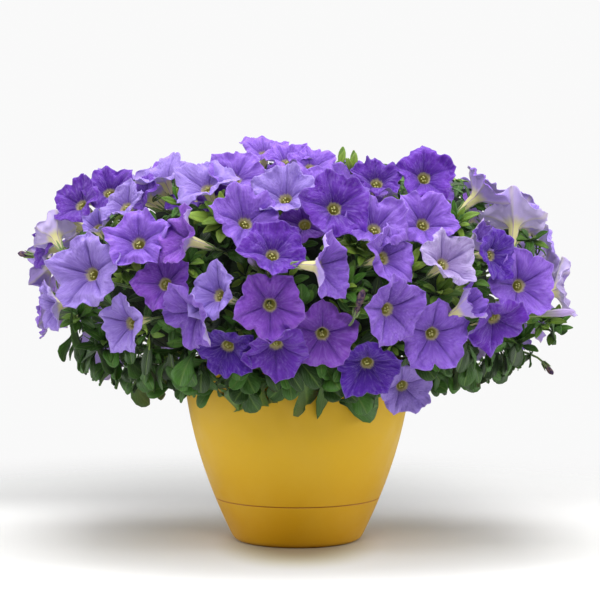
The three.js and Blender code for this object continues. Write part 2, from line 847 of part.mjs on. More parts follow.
// A flower stalk from the calyx into its core, by the way that crosses least
function stalkFor(k, { end, facing, roll, own, straight }) {
  const node = "stem" + k;
  const start = end.clone().addScaledVector(facing, -calyx.depth);
  const inside = start.clone().addScaledVector(facing, -stem.behind);
  let best = null;
  for (const target of coreTargets(k, inside).slice(0, stem.targets)) {
    for (const reach of stem.reaches) {
      const bend = start.clone().addScaledVector(facing, -Math.min(reach, 0.7 * start.distanceTo(target)));
      const curve = new THREE.QuadraticBezierCurve3(start, bend, target);
      const solid = stalkSolid(curve, end, facing, roll, straight);
      const others = crossing(solid, (other) => other.node !== node && other !== own);
      const kin = crossing(solid, (other) => other.node === node && other.kind !== "core");
      const cost = others * 10 + kin;
      if (!best || cost < best.cost) best = { cost, curve, solid, others };
      if (cost === 0) return best;
    }
  }
  return best;
}

// A stalk carries a bloom or a bud at its end
function addStalk(stalk) {
  const k = fanOf(stalk.end);
  const { end, facing, roll, straight } = stalk;
  const { curve, solid } = stalkFor(k, stalk);
  addPiece(solid, stalkSolid(curve, end, facing, roll, straight, margin), "stem" + k, "stalk");
  return k;
}

function addBud(end, facing, length, k) {
  const solid = budSolid(end, facing, length);
  addPiece(solid, solid, "stem" + k, "bud");
}

// A leaf that stands out of a core, turned until it is clear of all the rest
function addLeaf(k, level, aside, id) {
  const node = "stem" + k;
  const base = onCore(k, aside + swing(id, 50, 4), level + swing(id, 51, 0.25), leafy.root);
  const out = base.clone().setZ((base.z - dome.widest) * leafy.upward + leafy.above).normalize();
  const axes = axesOf(out);
  const ownCore = (other) => other.kind === "core" && other.node === node;
  for (let trial = 0; trial < leafy.trials; trial += 1) {
    const turn = 2 * Math.PI * (chance(id, 52) + trial * leafy.spiral);
    const lean = between(leafy.lean, chance(id, 53 + trial));
    const length = between(leafy.length, chance(id, 70 + trial));
    const way = placed(new THREE.Vector3(), axes, Math.cos(turn), Math.sin(turn), lean).normalize();
    const tip = base.clone().addScaledVector(way, length);
    const leaf = { base, tip, face: out, breadth: length * leafy.broad };
    const solid = leafSolid(leaf);
    if (crossing(solid, (other) => !ownCore(other)) > 0) continue;
    if (crossing(solid, ownCore) < leafy.sunk) continue;
    addPiece(solid, leafSolid(leaf, margin), node, "leaf");
    return;
  }
}

// A leaf of the lower fringe, on a stalk of its own from the core
function addFringe(base, tip, face, breadth) {
  const k = fanOf(base);
  const node = "stem" + k;
  const away = base.clone().sub(tip).normalize();
  const points = coreTargets(k, base).slice(0, stem.targets);
  for (const inset of fringe.insets) {
    const move = face.clone().setZ(0).normalize().multiplyScalar(-inset);
    const [from, to] = [base.clone().add(move), tip.clone().add(move)];
    const leaf = { base: from.clone().addScaledVector(away, fringe.past), tip: to, face, breadth };
    const solid = leafSolid(leaf);
    if (crossing(solid, () => true) > 0) continue;
    for (const point of points) {
      const bend = from.clone().addScaledVector(away, fringe.bend * from.distanceTo(point));
      const curve = new THREE.QuadraticBezierCurve3(onMidrib(leaf, fringe.joint), bend, point);
      const stalk = tube(curve, stem.leafStalk, 3, 2);
      if (crossing(stalk, (other) => other.kind !== "core" || other.node !== node) > 0) continue;
      if (shared(stalk, solid) < 1) continue;
      addPiece(solid, leafSolid(leaf, margin), node, "leaf");
      addPiece(stalk, tube(curve, stem.leafStalk + 2 * margin, 3, 2), node, "stalk");
      return;
    }
  }
}

function addFrontFringe() {
  fringeLeaves.forEach(([baseAcross, baseHeight, tipAcross, tipHeight, breadth], i) => {
    const base = seenOnDome(baseAcross, baseHeight, fringe.rootDepth);
    const tip = seenOnDome(tipAcross, tipHeight, fringe.tipDepth);
    const turn = base.x * fringe.turn + swing(i, 60, fringe.swing);
    addFringe(base, tip, facingOf(turn, fringe.tip + swing(i, 61, fringe.swing)), breadth);
  });
}

function addBackFringe() {
  const { count, fan, height, drop, breadth } = backFringe;
  for (let i = 0; i < count; i += 1) {
    const turn = ((2 * i) / (count - 1) - 1) * fan + swing(i, 70, 6);
    const high = height + swing(i, 71, 14);
    const base = onBackDome(turn, high, fringe.rootDepth);
    const tip = onBackDome(turn + swing(i, 72, 6), high - drop + swing(i, 73, 8), fringe.tipDepth);
    const face = facingOf(180 - turn + swing(i, 74, fringe.swing), fringe.tip + swing(i, 75, fringe.swing));
    addFringe(base, tip, face, breadth + swing(i, 76, 5));
  }
}

const trunkLines = Array.from({ length: leafy.count }, (_, k) => trunkLine(k, stem.root - 2 * gap));

function countName(count) {
  return String(count).padStart(2, "0");
}

function meshOf(name, solid, colour, roughness) {
  const material = new THREE.MeshStandardMaterial({ color: colour, roughness });
  const mesh = new THREE.Mesh(geometryOf(solid.simplify(sliver)), material);
  mesh.name = name;
  return mesh;
}

// Cut a solid clear of the pieces of other nodes that it still crosses
function cutClear(solid, others) {
  const box = solid.boundingBox();
  return others
    .filter((other) => boxesMeet(box, other.box) && shared(solid, other.solid) > 0)
    .reduce((left, other) => largestBody(left.subtract(other.grown)), solid);
}

// The room that plants leave round the pot's wall and rim
function wallRoom() {
  const [low, top] = [seamHeight, rim.top + 1];
  return turned([
    [sideRadius(low) - 2 * wall, low],
    ...sidePoints(low, rim.under - 1, 3, -1),
    [rim.radius + 1, rim.under - 1],
    [rim.radius + 1, top],
    [sideRadius(top) - wall - 1, top],
    [sideRadius(low) - 2 * wall, low],
  ]);
}

const basket = new THREE.Group();
basket.add(meshOf("saucer", saucerSolid(), colours.pot, 0.55));
basket.add(meshOf("pot", potSolid(), colours.pot, 0.55));
addPiece(wallRoom(), wallRoom(), "pot", "pot");
addPiece(soilSolid(), soilSolid(), "soil", "pot");
basket.add(meshOf("soil", soilSolid(), colours.soil, 1));

for (let k = 0; k < leafy.count; k += 1) {
  const trunk = tube(trunkLine(k, stem.root), stem.trunk, 5, 1);
  addPiece(trunk, trunk, "stem" + k, "trunk");
  addPiece(coreSolid(k), coreSolid(k, margin), "stem" + k, "core");
}

const plans = bloomPlans();
shareNodes(plans);
const groups = [...new Set(plans.map((plan) => plan.group))];
placeBlooms(groups);

plans.forEach(({ at, facing, radius, roll, piece, behind }) => {
  const end = at.clone().addScaledVector(facing, -bloom.tube * radius);
  addStalk({ end, facing, roll, own: piece, straight: behind });
});
frontBuds.forEach(([across, height, length, turn, tip]) => {
  const end = seenOnDome(across, height, bud.depth);
  const facing = facingOf(turn, tip);
  addBud(end, facing, length, addStalk({ end, facing, roll: 0, own: null, straight: false }));
});
addFrontFringe();
addBackFringe();
for (let k = 0; k < leafy.count; k += 1) {
  leafy.rows.forEach(({ level, asides }, row) => {
    asides.forEach((aside, i) => addLeaf(k, level, aside, 1000 + 100 * k + 10 * row + i));
  });
}

const blooms = pieces.filter((other) => other.kind === "bloom");
groups.forEach((group, node) => {
  const joined = group.members.slice(1).reduce((sum, plan) => sum.add(plan.solid), group.members[0].solid);
  const solid = cutClear(joined, blooms.filter((other) => other.node < node));
  basket.add(meshOf("blooms_" + countName(node + 1), solid, colours.petal, 0.6));
});
for (let k = 0; k < leafy.count; k += 1) {
  const own = "stem" + k;
  const parts = pieces.filter((other) => other.node === own).map((other) => other.solid);
  const others = pieces.filter(({ node, kind }) => node !== own && (kind === "bloom" || node < own));
  const solid = cutClear(largestBody(wasm.Manifold.union(parts)), others);
  basket.add(meshOf("leafy_stem_" + countName(k + 1), solid, colours.leaf, 0.7));
}

export default basket;
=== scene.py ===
import math

import bmesh
import bpy
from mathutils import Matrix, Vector, noise
from mathutils.bvhtree import BVHTree
from mathutils.kdtree import KDTree


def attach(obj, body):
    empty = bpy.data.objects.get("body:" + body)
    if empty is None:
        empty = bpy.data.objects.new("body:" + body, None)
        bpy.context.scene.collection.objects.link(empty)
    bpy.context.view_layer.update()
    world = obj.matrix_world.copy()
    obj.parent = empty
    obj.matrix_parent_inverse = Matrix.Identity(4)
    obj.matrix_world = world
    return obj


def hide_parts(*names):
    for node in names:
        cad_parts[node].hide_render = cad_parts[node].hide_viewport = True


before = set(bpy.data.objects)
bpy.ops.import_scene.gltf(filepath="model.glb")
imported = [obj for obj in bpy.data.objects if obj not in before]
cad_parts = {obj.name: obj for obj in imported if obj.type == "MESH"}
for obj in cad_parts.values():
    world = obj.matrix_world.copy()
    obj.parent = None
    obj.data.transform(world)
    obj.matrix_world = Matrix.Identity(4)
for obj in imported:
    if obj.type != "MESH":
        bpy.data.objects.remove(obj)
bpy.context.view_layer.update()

mm = 0.001  # places below are in millimetres, meshes in metres
scene = bpy.context.scene

# A petunia in a tapered pot on its saucer. The front is -Y.


def stage(words):
    print("petunia basket:", words)


def paint(red, green, blue):
    # a colour as a screen shows it, made linear
    def linear(value):
        share = value / 255
        return share / 12.92 if share <= 0.04045 else ((share + 0.055) / 1.055) ** 2.4
    return (linear(red), linear(green), linear(blue), 1.0)


def chance(row, column):
    # the same number from 0 to 1 for the same pair
    wave = 43758.5453 * math.sin(12.9898 * (row + 1) + 78.233 * (column + 1))
    return wave - math.floor(wave)


def swing(row, column, reach):
    return reach * (2 * chance(row, column) - 1)


def about(pair, row, column):
    middle, reach = pair
    return middle + swing(row, column, reach)


def smooth(low, high, value):
    share = min(1.0, max(0.0, (value - low) / (high - low)))
    return share * share * (3 - 2 * share)


def within(pair, share):
    low, high = pair
    return low + (high - low) * share


# Where blooms sit: the dome that they cover, seen from the camera

dome = {"across": 292, "deep": 246, "widest": 262, "above": (153, 2.6), "below": (140, 1.6),
        "throatDepth": 12, "steps": 12, "middle": Vector((0, 0, 232)), "backFrom": 60}
viewer = Vector((0, -2100, 352))


def facingOf(turn, tip):
    t = math.radians(turn)
    e = math.radians(tip)
    return Vector((math.sin(t) * math.cos(e), -math.cos(t) * math.cos(e), math.sin(e)))


def axesOf(facing):
    right = Vector((0, 0, 1)).cross(facing).normalized()
    return right, facing.cross(right), facing


def aside(right, over, turned, distance=1):
    return right * (distance * math.cos(turned)) + over * (distance * math.sin(turned))


def domeSide(above):
    # how far the dome reaches from its widest height, and the power of its curve
    return dome["above" if above else "below"]


def domeShare(height):
    reach, power = domeSide(height > dome["widest"])
    share = min(1, abs(height - dome["widest"]) / reach)
    return (1 - share ** power) ** (1 / power)


def seenOnDome(across, height, inset):
    # where the line of sight through a point of the plane through the axis meets the dome
    onPlane = Vector((across, 0, height))
    point = onPlane.copy()
    for _ in range(dome["steps"]):
        left = max(0, domeShare(point.z) ** 2 - (point.x / dome["across"]) ** 2)
        depth = min(0, inset - dome["deep"] * math.sqrt(left))
        point = viewer.lerp(onPlane, (depth - viewer.y) / -viewer.y)
    return point


def onBackDome(turn, height, inset):
    share = domeShare(height)
    t = math.radians(turn)
    across = (dome["across"] * share - inset) * math.sin(t)
    return Vector((across, (dome["deep"] * share - inset) * math.cos(t), height))


# Front blooms: across and up, width, turn to the right, tip upwards, roll, ahead of the dome, opening, tint
frontBlooms = [
    (-232, 359, 54, -35, 32, 0, 4, 1, "d"), (-201, 372, 54, -5, 40, 20, -26, 1, "d"),
    (-184, 357, 50, -35, 42, 0, 0, 1, "l"), (-162, 366, 50, -60, 30, 15, -30, 1, "d"),
    (-142, 386, 56, -100, 34, 10, -18, 1, "l"), (-97, 377, 64, -25, 48, 0, 10, 1, "l"),
    (-66, 387, 62, 20, 46, 36, -6, 1, "m"), (-85, 364, 52, 15, 35, 10, -30, 1, "d"),
    (-35, 414, 50, 10, 62, 0, -20, 1, "m"), (-11, 405, 50, 12, 58, 20, -20, 1, "m"),
    (15, 399, 50, 20, 52, 0, -20, 1, "m"), (-13, 366, 62, -12, 42, 0, 0, 1, "l"),
    (-55, 340, 70, 18, 36, 10, 8, 1, "m"), (-170, 318, 64, -8, 32, 5, 4, 1, "m"),
    (-110, 321, 62, -62, 16, 0, 12, 0.92, "v"), (-259, 324, 46, -150, 38, 0, -10, 0.95, "p"),
    (-268, 312, 46, -85, 4, 10, -20, 1, "d"), (-228, 280, 76, -26, 14, 8, 16, 1, "l"),
    (-258, 251, 54, -105, -12, 0, -4, 0.95, "l"), (-213, 334, 34, -20, 40, 0, -6, 0.7, "l"),
    (-180, 231, 60, -44, -8, 0, 8, 0.96, "l"), (-142, 274, 56, -15, 14, 20, -10, 1, "v"),
    (-107, 240, 70, -46, -26, 12, 12, 1, "m"), (-85, 262, 60, -40, 16, 0, 4, 0.95, "l"),
    (-26, 306, 66, 12, 38, 25, 14, 1, "d"), (-29, 251, 65, 3, -3, 36, 10, 1, "v"),
    (27, 220, 65, 2, -8, 0, 4, 1, "v"), (-75, 206, 58, -14, -30, 10, 2, 1, "n"),
    (-19, 207, 64, 4, -42, 36, 12, 1, "d"), (40, 355, 68, 10, 22, 10, 14, 1, "d"),
    (28, 291, 66, 62, -4, 0, 8, 0.92, "m"), (8, 338, 48, 0, 30, 15, -22, 1, "v"),
    (85, 382, 52, 8, 40, 0, -4, 0.92, "d"), (83, 334, 66, 14, 42, 20, 2, 1, "m"),
    (94, 302, 64, 44, 14, 0, 12, 0.94, "m"), (98, 246, 70, 34, -8, 10, 14, 1, "m"),
    (75, 188, 62, 0, -26, 0, 6, 1, "n"), (115, 170, 54, 22, -52, 15, -12, 1, "l"),
    (145, 220, 69, 12, -8, 0, 2, 1, "m"), (139, 388, 60, 10, 26, 0, 0, 1, "d"),
    (135, 338, 64, 14, 28, 36, -4, 1, "m"), (157, 296, 60, 34, 28, 0, 10, 0.95, "p"),
    (193, 368, 58, 82, 38, 0, -6, 0.9, "m"), (232, 338, 70, 165, 64, 0, -16, 1, "p"),
    (208, 305, 54, 48, 2, 0, 8, 1, "n"), (238, 272, 70, 18, 6, 12, 6, 1, "m"),
    (176, 246, 48, 58, 28, 0, 4, 0.62, "m"), (212, 235, 64, 24, -38, 36, 6, 1, "d"),
    (278, 266, 60, 88, 10, 0, -12, 1, "p"), (189, 317, 44, 60, 22, 0, -22, 0.7, "m"),
]
backRows = [(205, 8, -16), (246, 9, 2), (290, 9, 16), (334, 8, 30), (370, 6, 46), (396, 5, 62)]
crownRings = [(32, 3, 360, 0), (96, 7, 360, 0), (152, 5, 160, 180)]  # radius, count, fan, middle
behind = {"fan": 95, "sinkFrom": 0.7, "sink": 52, "width": (56, 70), "place": 5, "facing": 22,
          "tints": "mmdlmvml", "highest": 399, "lower": 18, "lowRow": 200, "raise": 14, "inwards": 20}
crown = {"first": 800, "tip": 76, "lean": 0.2, "sink": 24, "swing": 10, "tints": "mmdlmdml"}
rolledOn = {107: -7, 208: 8, 823: 6}
turnedOn = {4: (-42, 58), 16: (-60, 6), 18: (-66, -10), 37: (18, -24), 42: (94, 40)}  # turn and tip
movedOn = {37: (-2, -2, -6), 505: (-24, 10, -26)}
petalLift = 0.37  # how far a bloom's rim stands ahead of its throat, as a share of its radius
# m is the main violet, l a lighter and d a darker copy of it, and n darker still; on the front blooms l, d
# and n follow how lit or shaded each one looks, so there they are partly painted light and painted shade,
# and n mostly painted shade; behind, tints are drawn at random
tints = {
    "m": paint(149, 102, 221), "l": paint(168, 142, 230), "d": paint(107, 45, 183),
    "v": paint(144, 82, 206), "p": paint(194, 176, 228), "n": paint(84, 22, 170),
}


def plainPlan(number, at, facing):
    radius = within(behind["width"], chance(number, 4)) / 2
    roll = 72 * chance(number, 6) + rolledOn.get(number, 0)
    choice = crown["tints"] if number >= crown["first"] else behind["tints"]
    tint = choice[int(len(choice) * chance(number, 9))]
    return {"id": number, "at": at, "facing": facing, "radius": radius, "roll": roll, "open": 1,
            "tint": tint, "front": False}


def frontPlans():
    plans = []
    for i, (across, height, width, turn, tip, roll, ahead, opening, tint) in enumerate(frontBlooms):
        at = seenOnDome(across, height, dome["throatDepth"])
        at += (viewer - at).normalized() * ahead
        plans.append({"id": i, "at": at, "facing": facingOf(turn, tip), "radius": width / 2, "roll": roll,
                      "open": opening, "tint": tint, "front": True})
    return plans


def backPlans():
    plans = []
    for r, (rowHeight, count, rowTip) in enumerate(backRows):
        for i in range(count):
            number = 100 * (r + 1) + i
            turn = ((2 * i) / (count - 1) - 1) * behind["fan"] + swing(number, 1, behind["place"])
            sink = behind["sink"] * max(0, abs(turn) / behind["fan"] - behind["sinkFrom"])
            height = rowHeight + swing(number, 5, behind["place"])
            at = onBackDome(turn, height, dome["throatDepth"] + sink)
            tip = rowTip + swing(number, 3, behind["facing"])
            facing = facingOf(180 - turn + swing(number, 2, behind["facing"]), tip)
            plans.append(plainPlan(number, at, facing))
    return plans


def crownPlans():
    plans = []
    reach, power = dome["above"]
    for r, (radius, count, fan, middle) in enumerate(crownRings):
        for i in range(count):
            number = crown["first"] + 20 * r + i
            turn = middle + fan * ((i + 0.5) / count - 0.5) + swing(number, 1, crown["swing"])
            t = math.radians(turn)
            share = (1 - (radius / dome["across"]) ** power) ** (1 / power)
            height = dome["widest"] + reach * share - crown["sink"]
            at = Vector((radius * math.sin(t), radius * math.cos(t), height))
            tip = crown["tip"] - radius * crown["lean"] + swing(number, 2, crown["swing"])
            plans.append(plainPlan(number, at, facingOf(180 - turn, tip)))
    return plans


bloomNodes = sorted(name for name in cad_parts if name.startswith("blooms_"))
leafyNodes = sorted(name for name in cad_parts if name.startswith("leafy_stem_"))
throatFloor = 9  # how deep a solid's throat goes, and how long its tube is for its petals
tubeShare = 0.88


def lowered(plan):
    # blooms behind keep below the front outline, and the lowest at the sides sit in the leaves
    facing = plan["facing"]
    top = plan["at"].z + plan["radius"] * (petalLift * facing.z + math.sqrt(1 - facing.z ** 2))
    plan["at"].z -= min(behind["lower"], max(0, top - behind["highest"]))
    if plan["id"] < behind["lowRow"] and plan["at"].y < dome["backFrom"]:
        plan["at"] += Vector((0, 0, behind["raise"])) - facing * behind["inwards"]


def settle(plans):
    # each bloom goes where its solid was set: the floor of its throat and the end of its tube tell
    searched = 60  # how far round its planned place
    same = 0.2  # how near two corners count as one
    corners = []
    for name in bloomNodes:
        corners += [(corner.co / mm, name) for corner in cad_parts[name].data.vertices]
    tree = KDTree(len(corners))
    for i, (place, _) in enumerate(corners):
        tree.insert(place, i)
    tree.balance()
    missed = 0
    for plan in plans:
        reach = plan["facing"] * (tubeShare * plan["radius"] - throatFloor)
        start = plan["at"] - plan["facing"] * throatFloor
        best = None
        for place, index, away in tree.find_range(start, searched):
            if tree.find(place - reach)[2] < same and (best is None or away < best[2]):
                best = (place, index, away)
        if best is None:
            missed += 1
            best = (start, tree.find(plan["at"])[1], 0)
        plan["at"] = best[0] + plan["facing"] * throatFloor
        plan["node"] = corners[best[1]][1]
        if not plan["front"]:
            lowered(plan)
        if plan["id"] in movedOn:
            plan["at"] += Vector(movedOn[plan["id"]])
        if plan["id"] in turnedOn:
            plan["facing"] = facingOf(*turnedOn[plan["id"]])
    stage(str(len(plans)) + " blooms placed, " + str(missed) + " left where they were planned")


plans = frontPlans() + backPlans() + crownPlans()
settle(plans)

# Materials


def newMaterial(name):
    made = bpy.data.materials.new(name)
    made.use_nodes = True
    shader = made.node_tree.nodes["Principled BSDF"]
    return made, made.node_tree, shader


def addNode(tree, kind, **settings):
    made = tree.nodes.new("ShaderNode" + kind)
    for name, value in settings.items():
        setattr(made, name, value)
    return made


def join(tree, source, target):
    tree.links.new(source, target)


def span(tree, source, low, high, outLow=0.0, outHigh=1.0):
    # a value mapped from one span to another, and held at the ends
    made = addNode(tree, "MapRange", interpolation_type="SMOOTHSTEP")
    made.inputs["From Min"].default_value = low
    made.inputs["From Max"].default_value = high
    made.inputs["To Min"].default_value = outLow
    made.inputs["To Max"].default_value = outHigh
    join(tree, source, made.inputs["Value"])
    return made.outputs["Result"]


def blend(tree, amount, first, second, way="MIX"):
    # two colours mixed; each side is a socket or a plain colour
    made = addNode(tree, "Mix", data_type="RGBA", blend_type=way)
    for name, side in (("Factor", amount), ("A", first), ("B", second)):
        socket = next(s for s in made.inputs if s.name == name and s.enabled)
        if isinstance(side, (tuple, float)):
            socket.default_value = side
        else:
            join(tree, side, socket)
    return next(s for s in made.outputs if s.enabled)


def sums(tree, way, first, second=None):
    made = addNode(tree, "Math", operation=way)
    for i, side in enumerate((first, second)):
        if isinstance(side, (int, float)):
            made.inputs[i].default_value = side
        elif side is not None:
            join(tree, side, made.inputs[i])
    return made.outputs["Value"]


def times(tree, first, second):
    return sums(tree, "MULTIPLY", first, second)


def plus(tree, first, second):
    return sums(tree, "ADD", first, second)


def laid(tree, body, colour, mask, strength=None):
    # a colour laid over another where a mask says, and no more than its strength
    return blend(tree, mask if strength is None else times(tree, mask, strength), body, colour)


def grain(tree, size, detail=3.0, rough=0.5):
    # noise in the object's own place, with spots about so many millimetres wide
    place = addNode(tree, "TexCoord")
    made = addNode(tree, "TexNoise")
    made.inputs["Scale"].default_value = 1 / (size * mm)
    made.inputs["Detail"].default_value = detail
    made.inputs["Roughness"].default_value = rough
    join(tree, place.outputs["Object"], made.inputs["Vector"])
    return made.outputs["Fac"]


def bumped(tree, shader, height, strength, distance):
    made = addNode(tree, "Bump")
    made.inputs["Strength"].default_value = strength
    made.inputs["Distance"].default_value = distance * mm
    join(tree, height, made.inputs["Height"])
    join(tree, made.outputs["Normal"], shader.inputs["Normal"])


def coat(tree, shader, colour, roughness, sheen=0.0, specular=0.5):
    join(tree, colour, shader.inputs["Base Color"])
    shader.inputs["Roughness"].default_value = roughness
    shader.inputs["Sheen Weight"].default_value = sheen
    shader.inputs["Specular IOR Level"].default_value = specular


# emission: the surface glows with a colour though it is no lamp, which is painted light
def glow(tree, shader, colour, strength):
    join(tree, colour, shader.inputs["Emission Color"])
    shader.inputs["Emission Strength"].default_value = strength


def ownPlace(tree):
    # the object's own X, Y and Z, in metres
    place = addNode(tree, "TexCoord")
    parts = addNode(tree, "SeparateXYZ")
    join(tree, place.outputs["Object"], parts.inputs["Vector"])
    return [parts.outputs[name] for name in "XYZ"]


def veinGroup():
    # Veins of a petal or a leaf. Across is 0 on the rib and 1 at the edge, Along runs out from the root.
    group = bpy.data.node_groups.new("fineVeins", "ShaderNodeTree")
    sockets = group.interface
    for name in ("Across", "Along", "Slant", "Count"):
        sockets.new_socket(name=name, in_out="INPUT", socket_type="NodeSocketFloat")
    for name in ("Veins", "Rib"):
        sockets.new_socket(name=name, in_out="OUTPUT", socket_type="NodeSocketFloat")
    given = group.nodes.new("NodeGroupInput").outputs
    result = group.nodes.new("NodeGroupOutput").inputs
    wobble = times(group, grain(group, 5.0, 2.0), 0.9)
    path = sums(group, "SUBTRACT", given["Along"], times(group, given["Across"], given["Slant"]))
    phase = plus(group, times(group, path, given["Count"]), wobble)
    wave = sums(group, "ABSOLUTE", sums(group, "SINE", times(group, phase, math.pi)))
    join(group, span(group, wave, 0.0, 0.34, 1.0, 0.0), result["Veins"])
    join(group, span(group, given["Across"], 0.0, 0.16, 1.0, 0.0), result["Rib"])
    return group


fineVeins = veinGroup()


def veinsFor(tree, mapName, slant, count):
    place = addNode(tree, "UVMap", uv_map=mapName)
    parts = addNode(tree, "SeparateXYZ")
    join(tree, place.outputs["UV"], parts.inputs["Vector"])
    veins = addNode(tree, "Group", node_tree=fineVeins)
    join(tree, parts.outputs["X"], veins.inputs["Across"])
    join(tree, parts.outputs["Y"], veins.inputs["Along"])
    veins.inputs["Slant"].default_value = slant
    veins.inputs["Count"].default_value = count
    return parts.outputs["X"], parts.outputs["Y"], veins.outputs["Veins"], veins.outputs["Rib"]


# rim is a pale colour of painted highlight, for the petals' edge and the lit streaks; glow is the strength
# of the painted light in the throat
petalLook = {"deep": (0.6, 0.516, 0.696, 1.0), "vein": 0.34, "rib": (0.75, 0.15), "light": 0.37,
             "glow": 0.18, "slant": 1.9, "count": 7.0, "rim": paint(196, 180, 240),
             "ring": paint(190, 176, 146), "inside": paint(148, 141, 62), "violet": paint(66, 22, 136),
             "cream": paint(206, 200, 142), "pale": paint(206, 192, 238), "tube": paint(150, 120, 170)}


def streaks(tree, across, along):
    # light and dark drawn out along a petal, and different on each: in the bump it raises crinkles, and in
    # the colour its light and dark are painted highlight and painted shade
    spot = addNode(tree, "CombineXYZ")
    join(tree, times(tree, across, 6.0), spot.inputs["X"])
    join(tree, times(tree, along, 4.0), spot.inputs["Y"])
    join(tree, times(tree, grain(tree, 45.0, 0.0), 26.0), spot.inputs["Z"])
    made = addNode(tree, "TexNoise")
    made.inputs["Scale"].default_value = 1.0
    made.inputs["Detail"].default_value = 1.5
    join(tree, spot.outputs["Vector"], made.inputs["Vector"])
    return made.outputs["Fac"]


def petalStart(name):
    made, tree, shader = newMaterial(name)
    tint = addNode(tree, "Attribute", attribute_name="tint").outputs["Color"]
    return made, tree, shader, tint, veinsFor(tree, "petal", petalLook["slant"], petalLook["count"])


def petalFace():
    made, tree, shader, tint, (across, along, veins, rib) = petalStart("petalFace")
    look = petalLook
    streak = streaks(tree, across, along)
    deep = blend(tree, 1.0, tint, look["deep"], "MULTIPLY")
    lit = blend(tree, 0.38, tint, look["rim"])
    ribShare = span(tree, along, 0.4, 1.0, *look["rib"])
    ragged = plus(tree, along, times(tree, grain(tree, 2.4, 1.0), 0.07))
    body = laid(tree, deep, tint, span(tree, along, 0.42, 0.9))
    body = laid(tree, body, deep, span(tree, grain(tree, 14.0), 0.35, 0.7), 0.35)
    # painted highlight where the streaks rise and painted shade where they fall
    body = laid(tree, body, lit, span(tree, streak, 0.46, 0.74), look["light"])
    body = laid(tree, body, deep, span(tree, streak, 0.52, 0.28), 0.6)
    body = laid(tree, body, look["violet"], veins, look["vein"])
    body = laid(tree, body, look["violet"], rib, ribShare)
    # a painted highlight along the petals' edge
    body = laid(tree, body, look["rim"], span(tree, along, 0.97, 0.995), 0.12)
    body = laid(tree, body, look["ring"], span(tree, ragged, 0.46, 0.39))
    body = laid(tree, body, look["inside"], span(tree, along, 0.35, 0.3))
    coat(tree, shader, body, 0.55, 0.12, 0.25)
    # the throat glows with its own olive colour: painted light in its hollow
    throat = laid(tree, (0.0, 0.0, 0.0, 1.0), look["inside"], span(tree, along, 0.41, 0.37))
    glow(tree, shader, throat, look["glow"])
    height = plus(tree, times(tree, veins, -0.4), grain(tree, 3.2, 4.0, 0.6))
    bumped(tree, shader, plus(tree, height, times(tree, streak, 1.1)), 0.8, 1.5)
    return made


def petalBack():
    made, tree, shader, tint, (_, along, veins, rib) = petalStart("petalBack")
    look = petalLook
    # paler than the face: partly the outside's own paler colour, partly painted light shining through the
    # petal
    body = blend(tree, 0.5, tint, look["pale"])
    body = laid(tree, body, look["violet"], veins, 0.16)
    body = laid(tree, body, look["cream"], rib, 0.35)
    tube = laid(tree, look["cream"], look["tube"], span(tree, rib, 0.2, 0.9))
    body = laid(tree, body, tube, span(tree, along, 0.58, 0.36))
    coat(tree, shader, body, 0.65, 0.2, 0.2)
    # glows a little with its own colour: painted light shining through the petal
    glow(tree, shader, body, 0.14)
    bumped(tree, shader, plus(tree, veins, grain(tree, 1.8, 2.0)), 0.5, 0.5)
    return made


plainLooks = {
    "antherCream": {"colours": (paint(214, 212, 140), paint(176, 178, 96)), "spots": 1.0, "roughness": 0.8},
    "stemGreen": {"colours": (paint(82, 116, 44), paint(128, 152, 74)), "spots": 4.0, "roughness": 0.6,
                  "sheen": 0.5, "bump": (0.8, 0.7, 0.4)},
    # almost black greens: painted shade for the plant's shaded inside
    "heartPaintedShade": {"colours": (paint(12, 22, 8), paint(34, 56, 18)), "spots": 12.0, "turns": (0.35, 0.65),
                   "roughness": 0.9, "bump": (8.0, 1.0, 4.0)},
    "spentPetal": {"colours": (paint(58, 36, 78), paint(120, 96, 96)), "spots": 3.0, "turns": (0.4, 0.6),
                   "roughness": 0.85, "bump": (1.6, 1.0, 1.0)},
}


def plainMaterial(name):
    # spots of two colours, and a bump given by its size, strength and height
    made, tree, shader = newMaterial(name)
    look = plainLooks[name]
    share = grain(tree, look["spots"])
    if "turns" in look:
        share = span(tree, share, *look["turns"])
    coat(tree, shader, blend(tree, share, *look["colours"]), look["roughness"], look.get("sheen", 0.0))
    if "bump" in look:
        size, strength, distance = look["bump"]
        bumped(tree, shader, grain(tree, size), strength, distance)
    return made


leafLook = {"dark": paint(24, 44, 12), "green": paint(60, 112, 18), "young": paint(138, 170, 54),
            "rib": paint(104, 136, 58), "under": paint(76, 112, 40)}


def leafColour(tree, ribStrength):
    look = leafLook
    _, along, veins, rib = veinsFor(tree, "blade", 0.55, 6.0)
    tone = addNode(tree, "Attribute", attribute_name="tone").outputs["Fac"]
    body = laid(tree, look["dark"], look["green"], span(tree, tone, 0.0, 0.5))
    body = laid(tree, body, look["young"], span(tree, tone, 0.5, 1.0))
    body = laid(tree, body, look["dark"], span(tree, grain(tree, 9.0), 0.4, 0.75), 0.35)
    body = laid(tree, body, look["dark"], span(tree, along, 0.5, 0.0), 0.6)
    body = laid(tree, body, look["rib"], veins, 0.22)
    return laid(tree, body, look["rib"], rib, ribStrength), plus(tree, rib, veins)


def leafFace():
    made, tree, shader = newMaterial("leafFace")
    body, lines = leafColour(tree, 0.55)
    coat(tree, shader, body, 0.5, 0.08, 0.4)
    bumped(tree, shader, sums(tree, "SUBTRACT", grain(tree, 1.6, 3.0), lines), 0.6, 0.5)
    return made


def leafUnder():
    made, tree, shader = newMaterial("leafUnder")
    body, lines = leafColour(tree, 0.6)
    coat(tree, shader, blend(tree, 0.3, body, leafLook["under"]), 0.75, 0.1)
    bumped(tree, shader, lines, 0.6, 0.5)
    return made


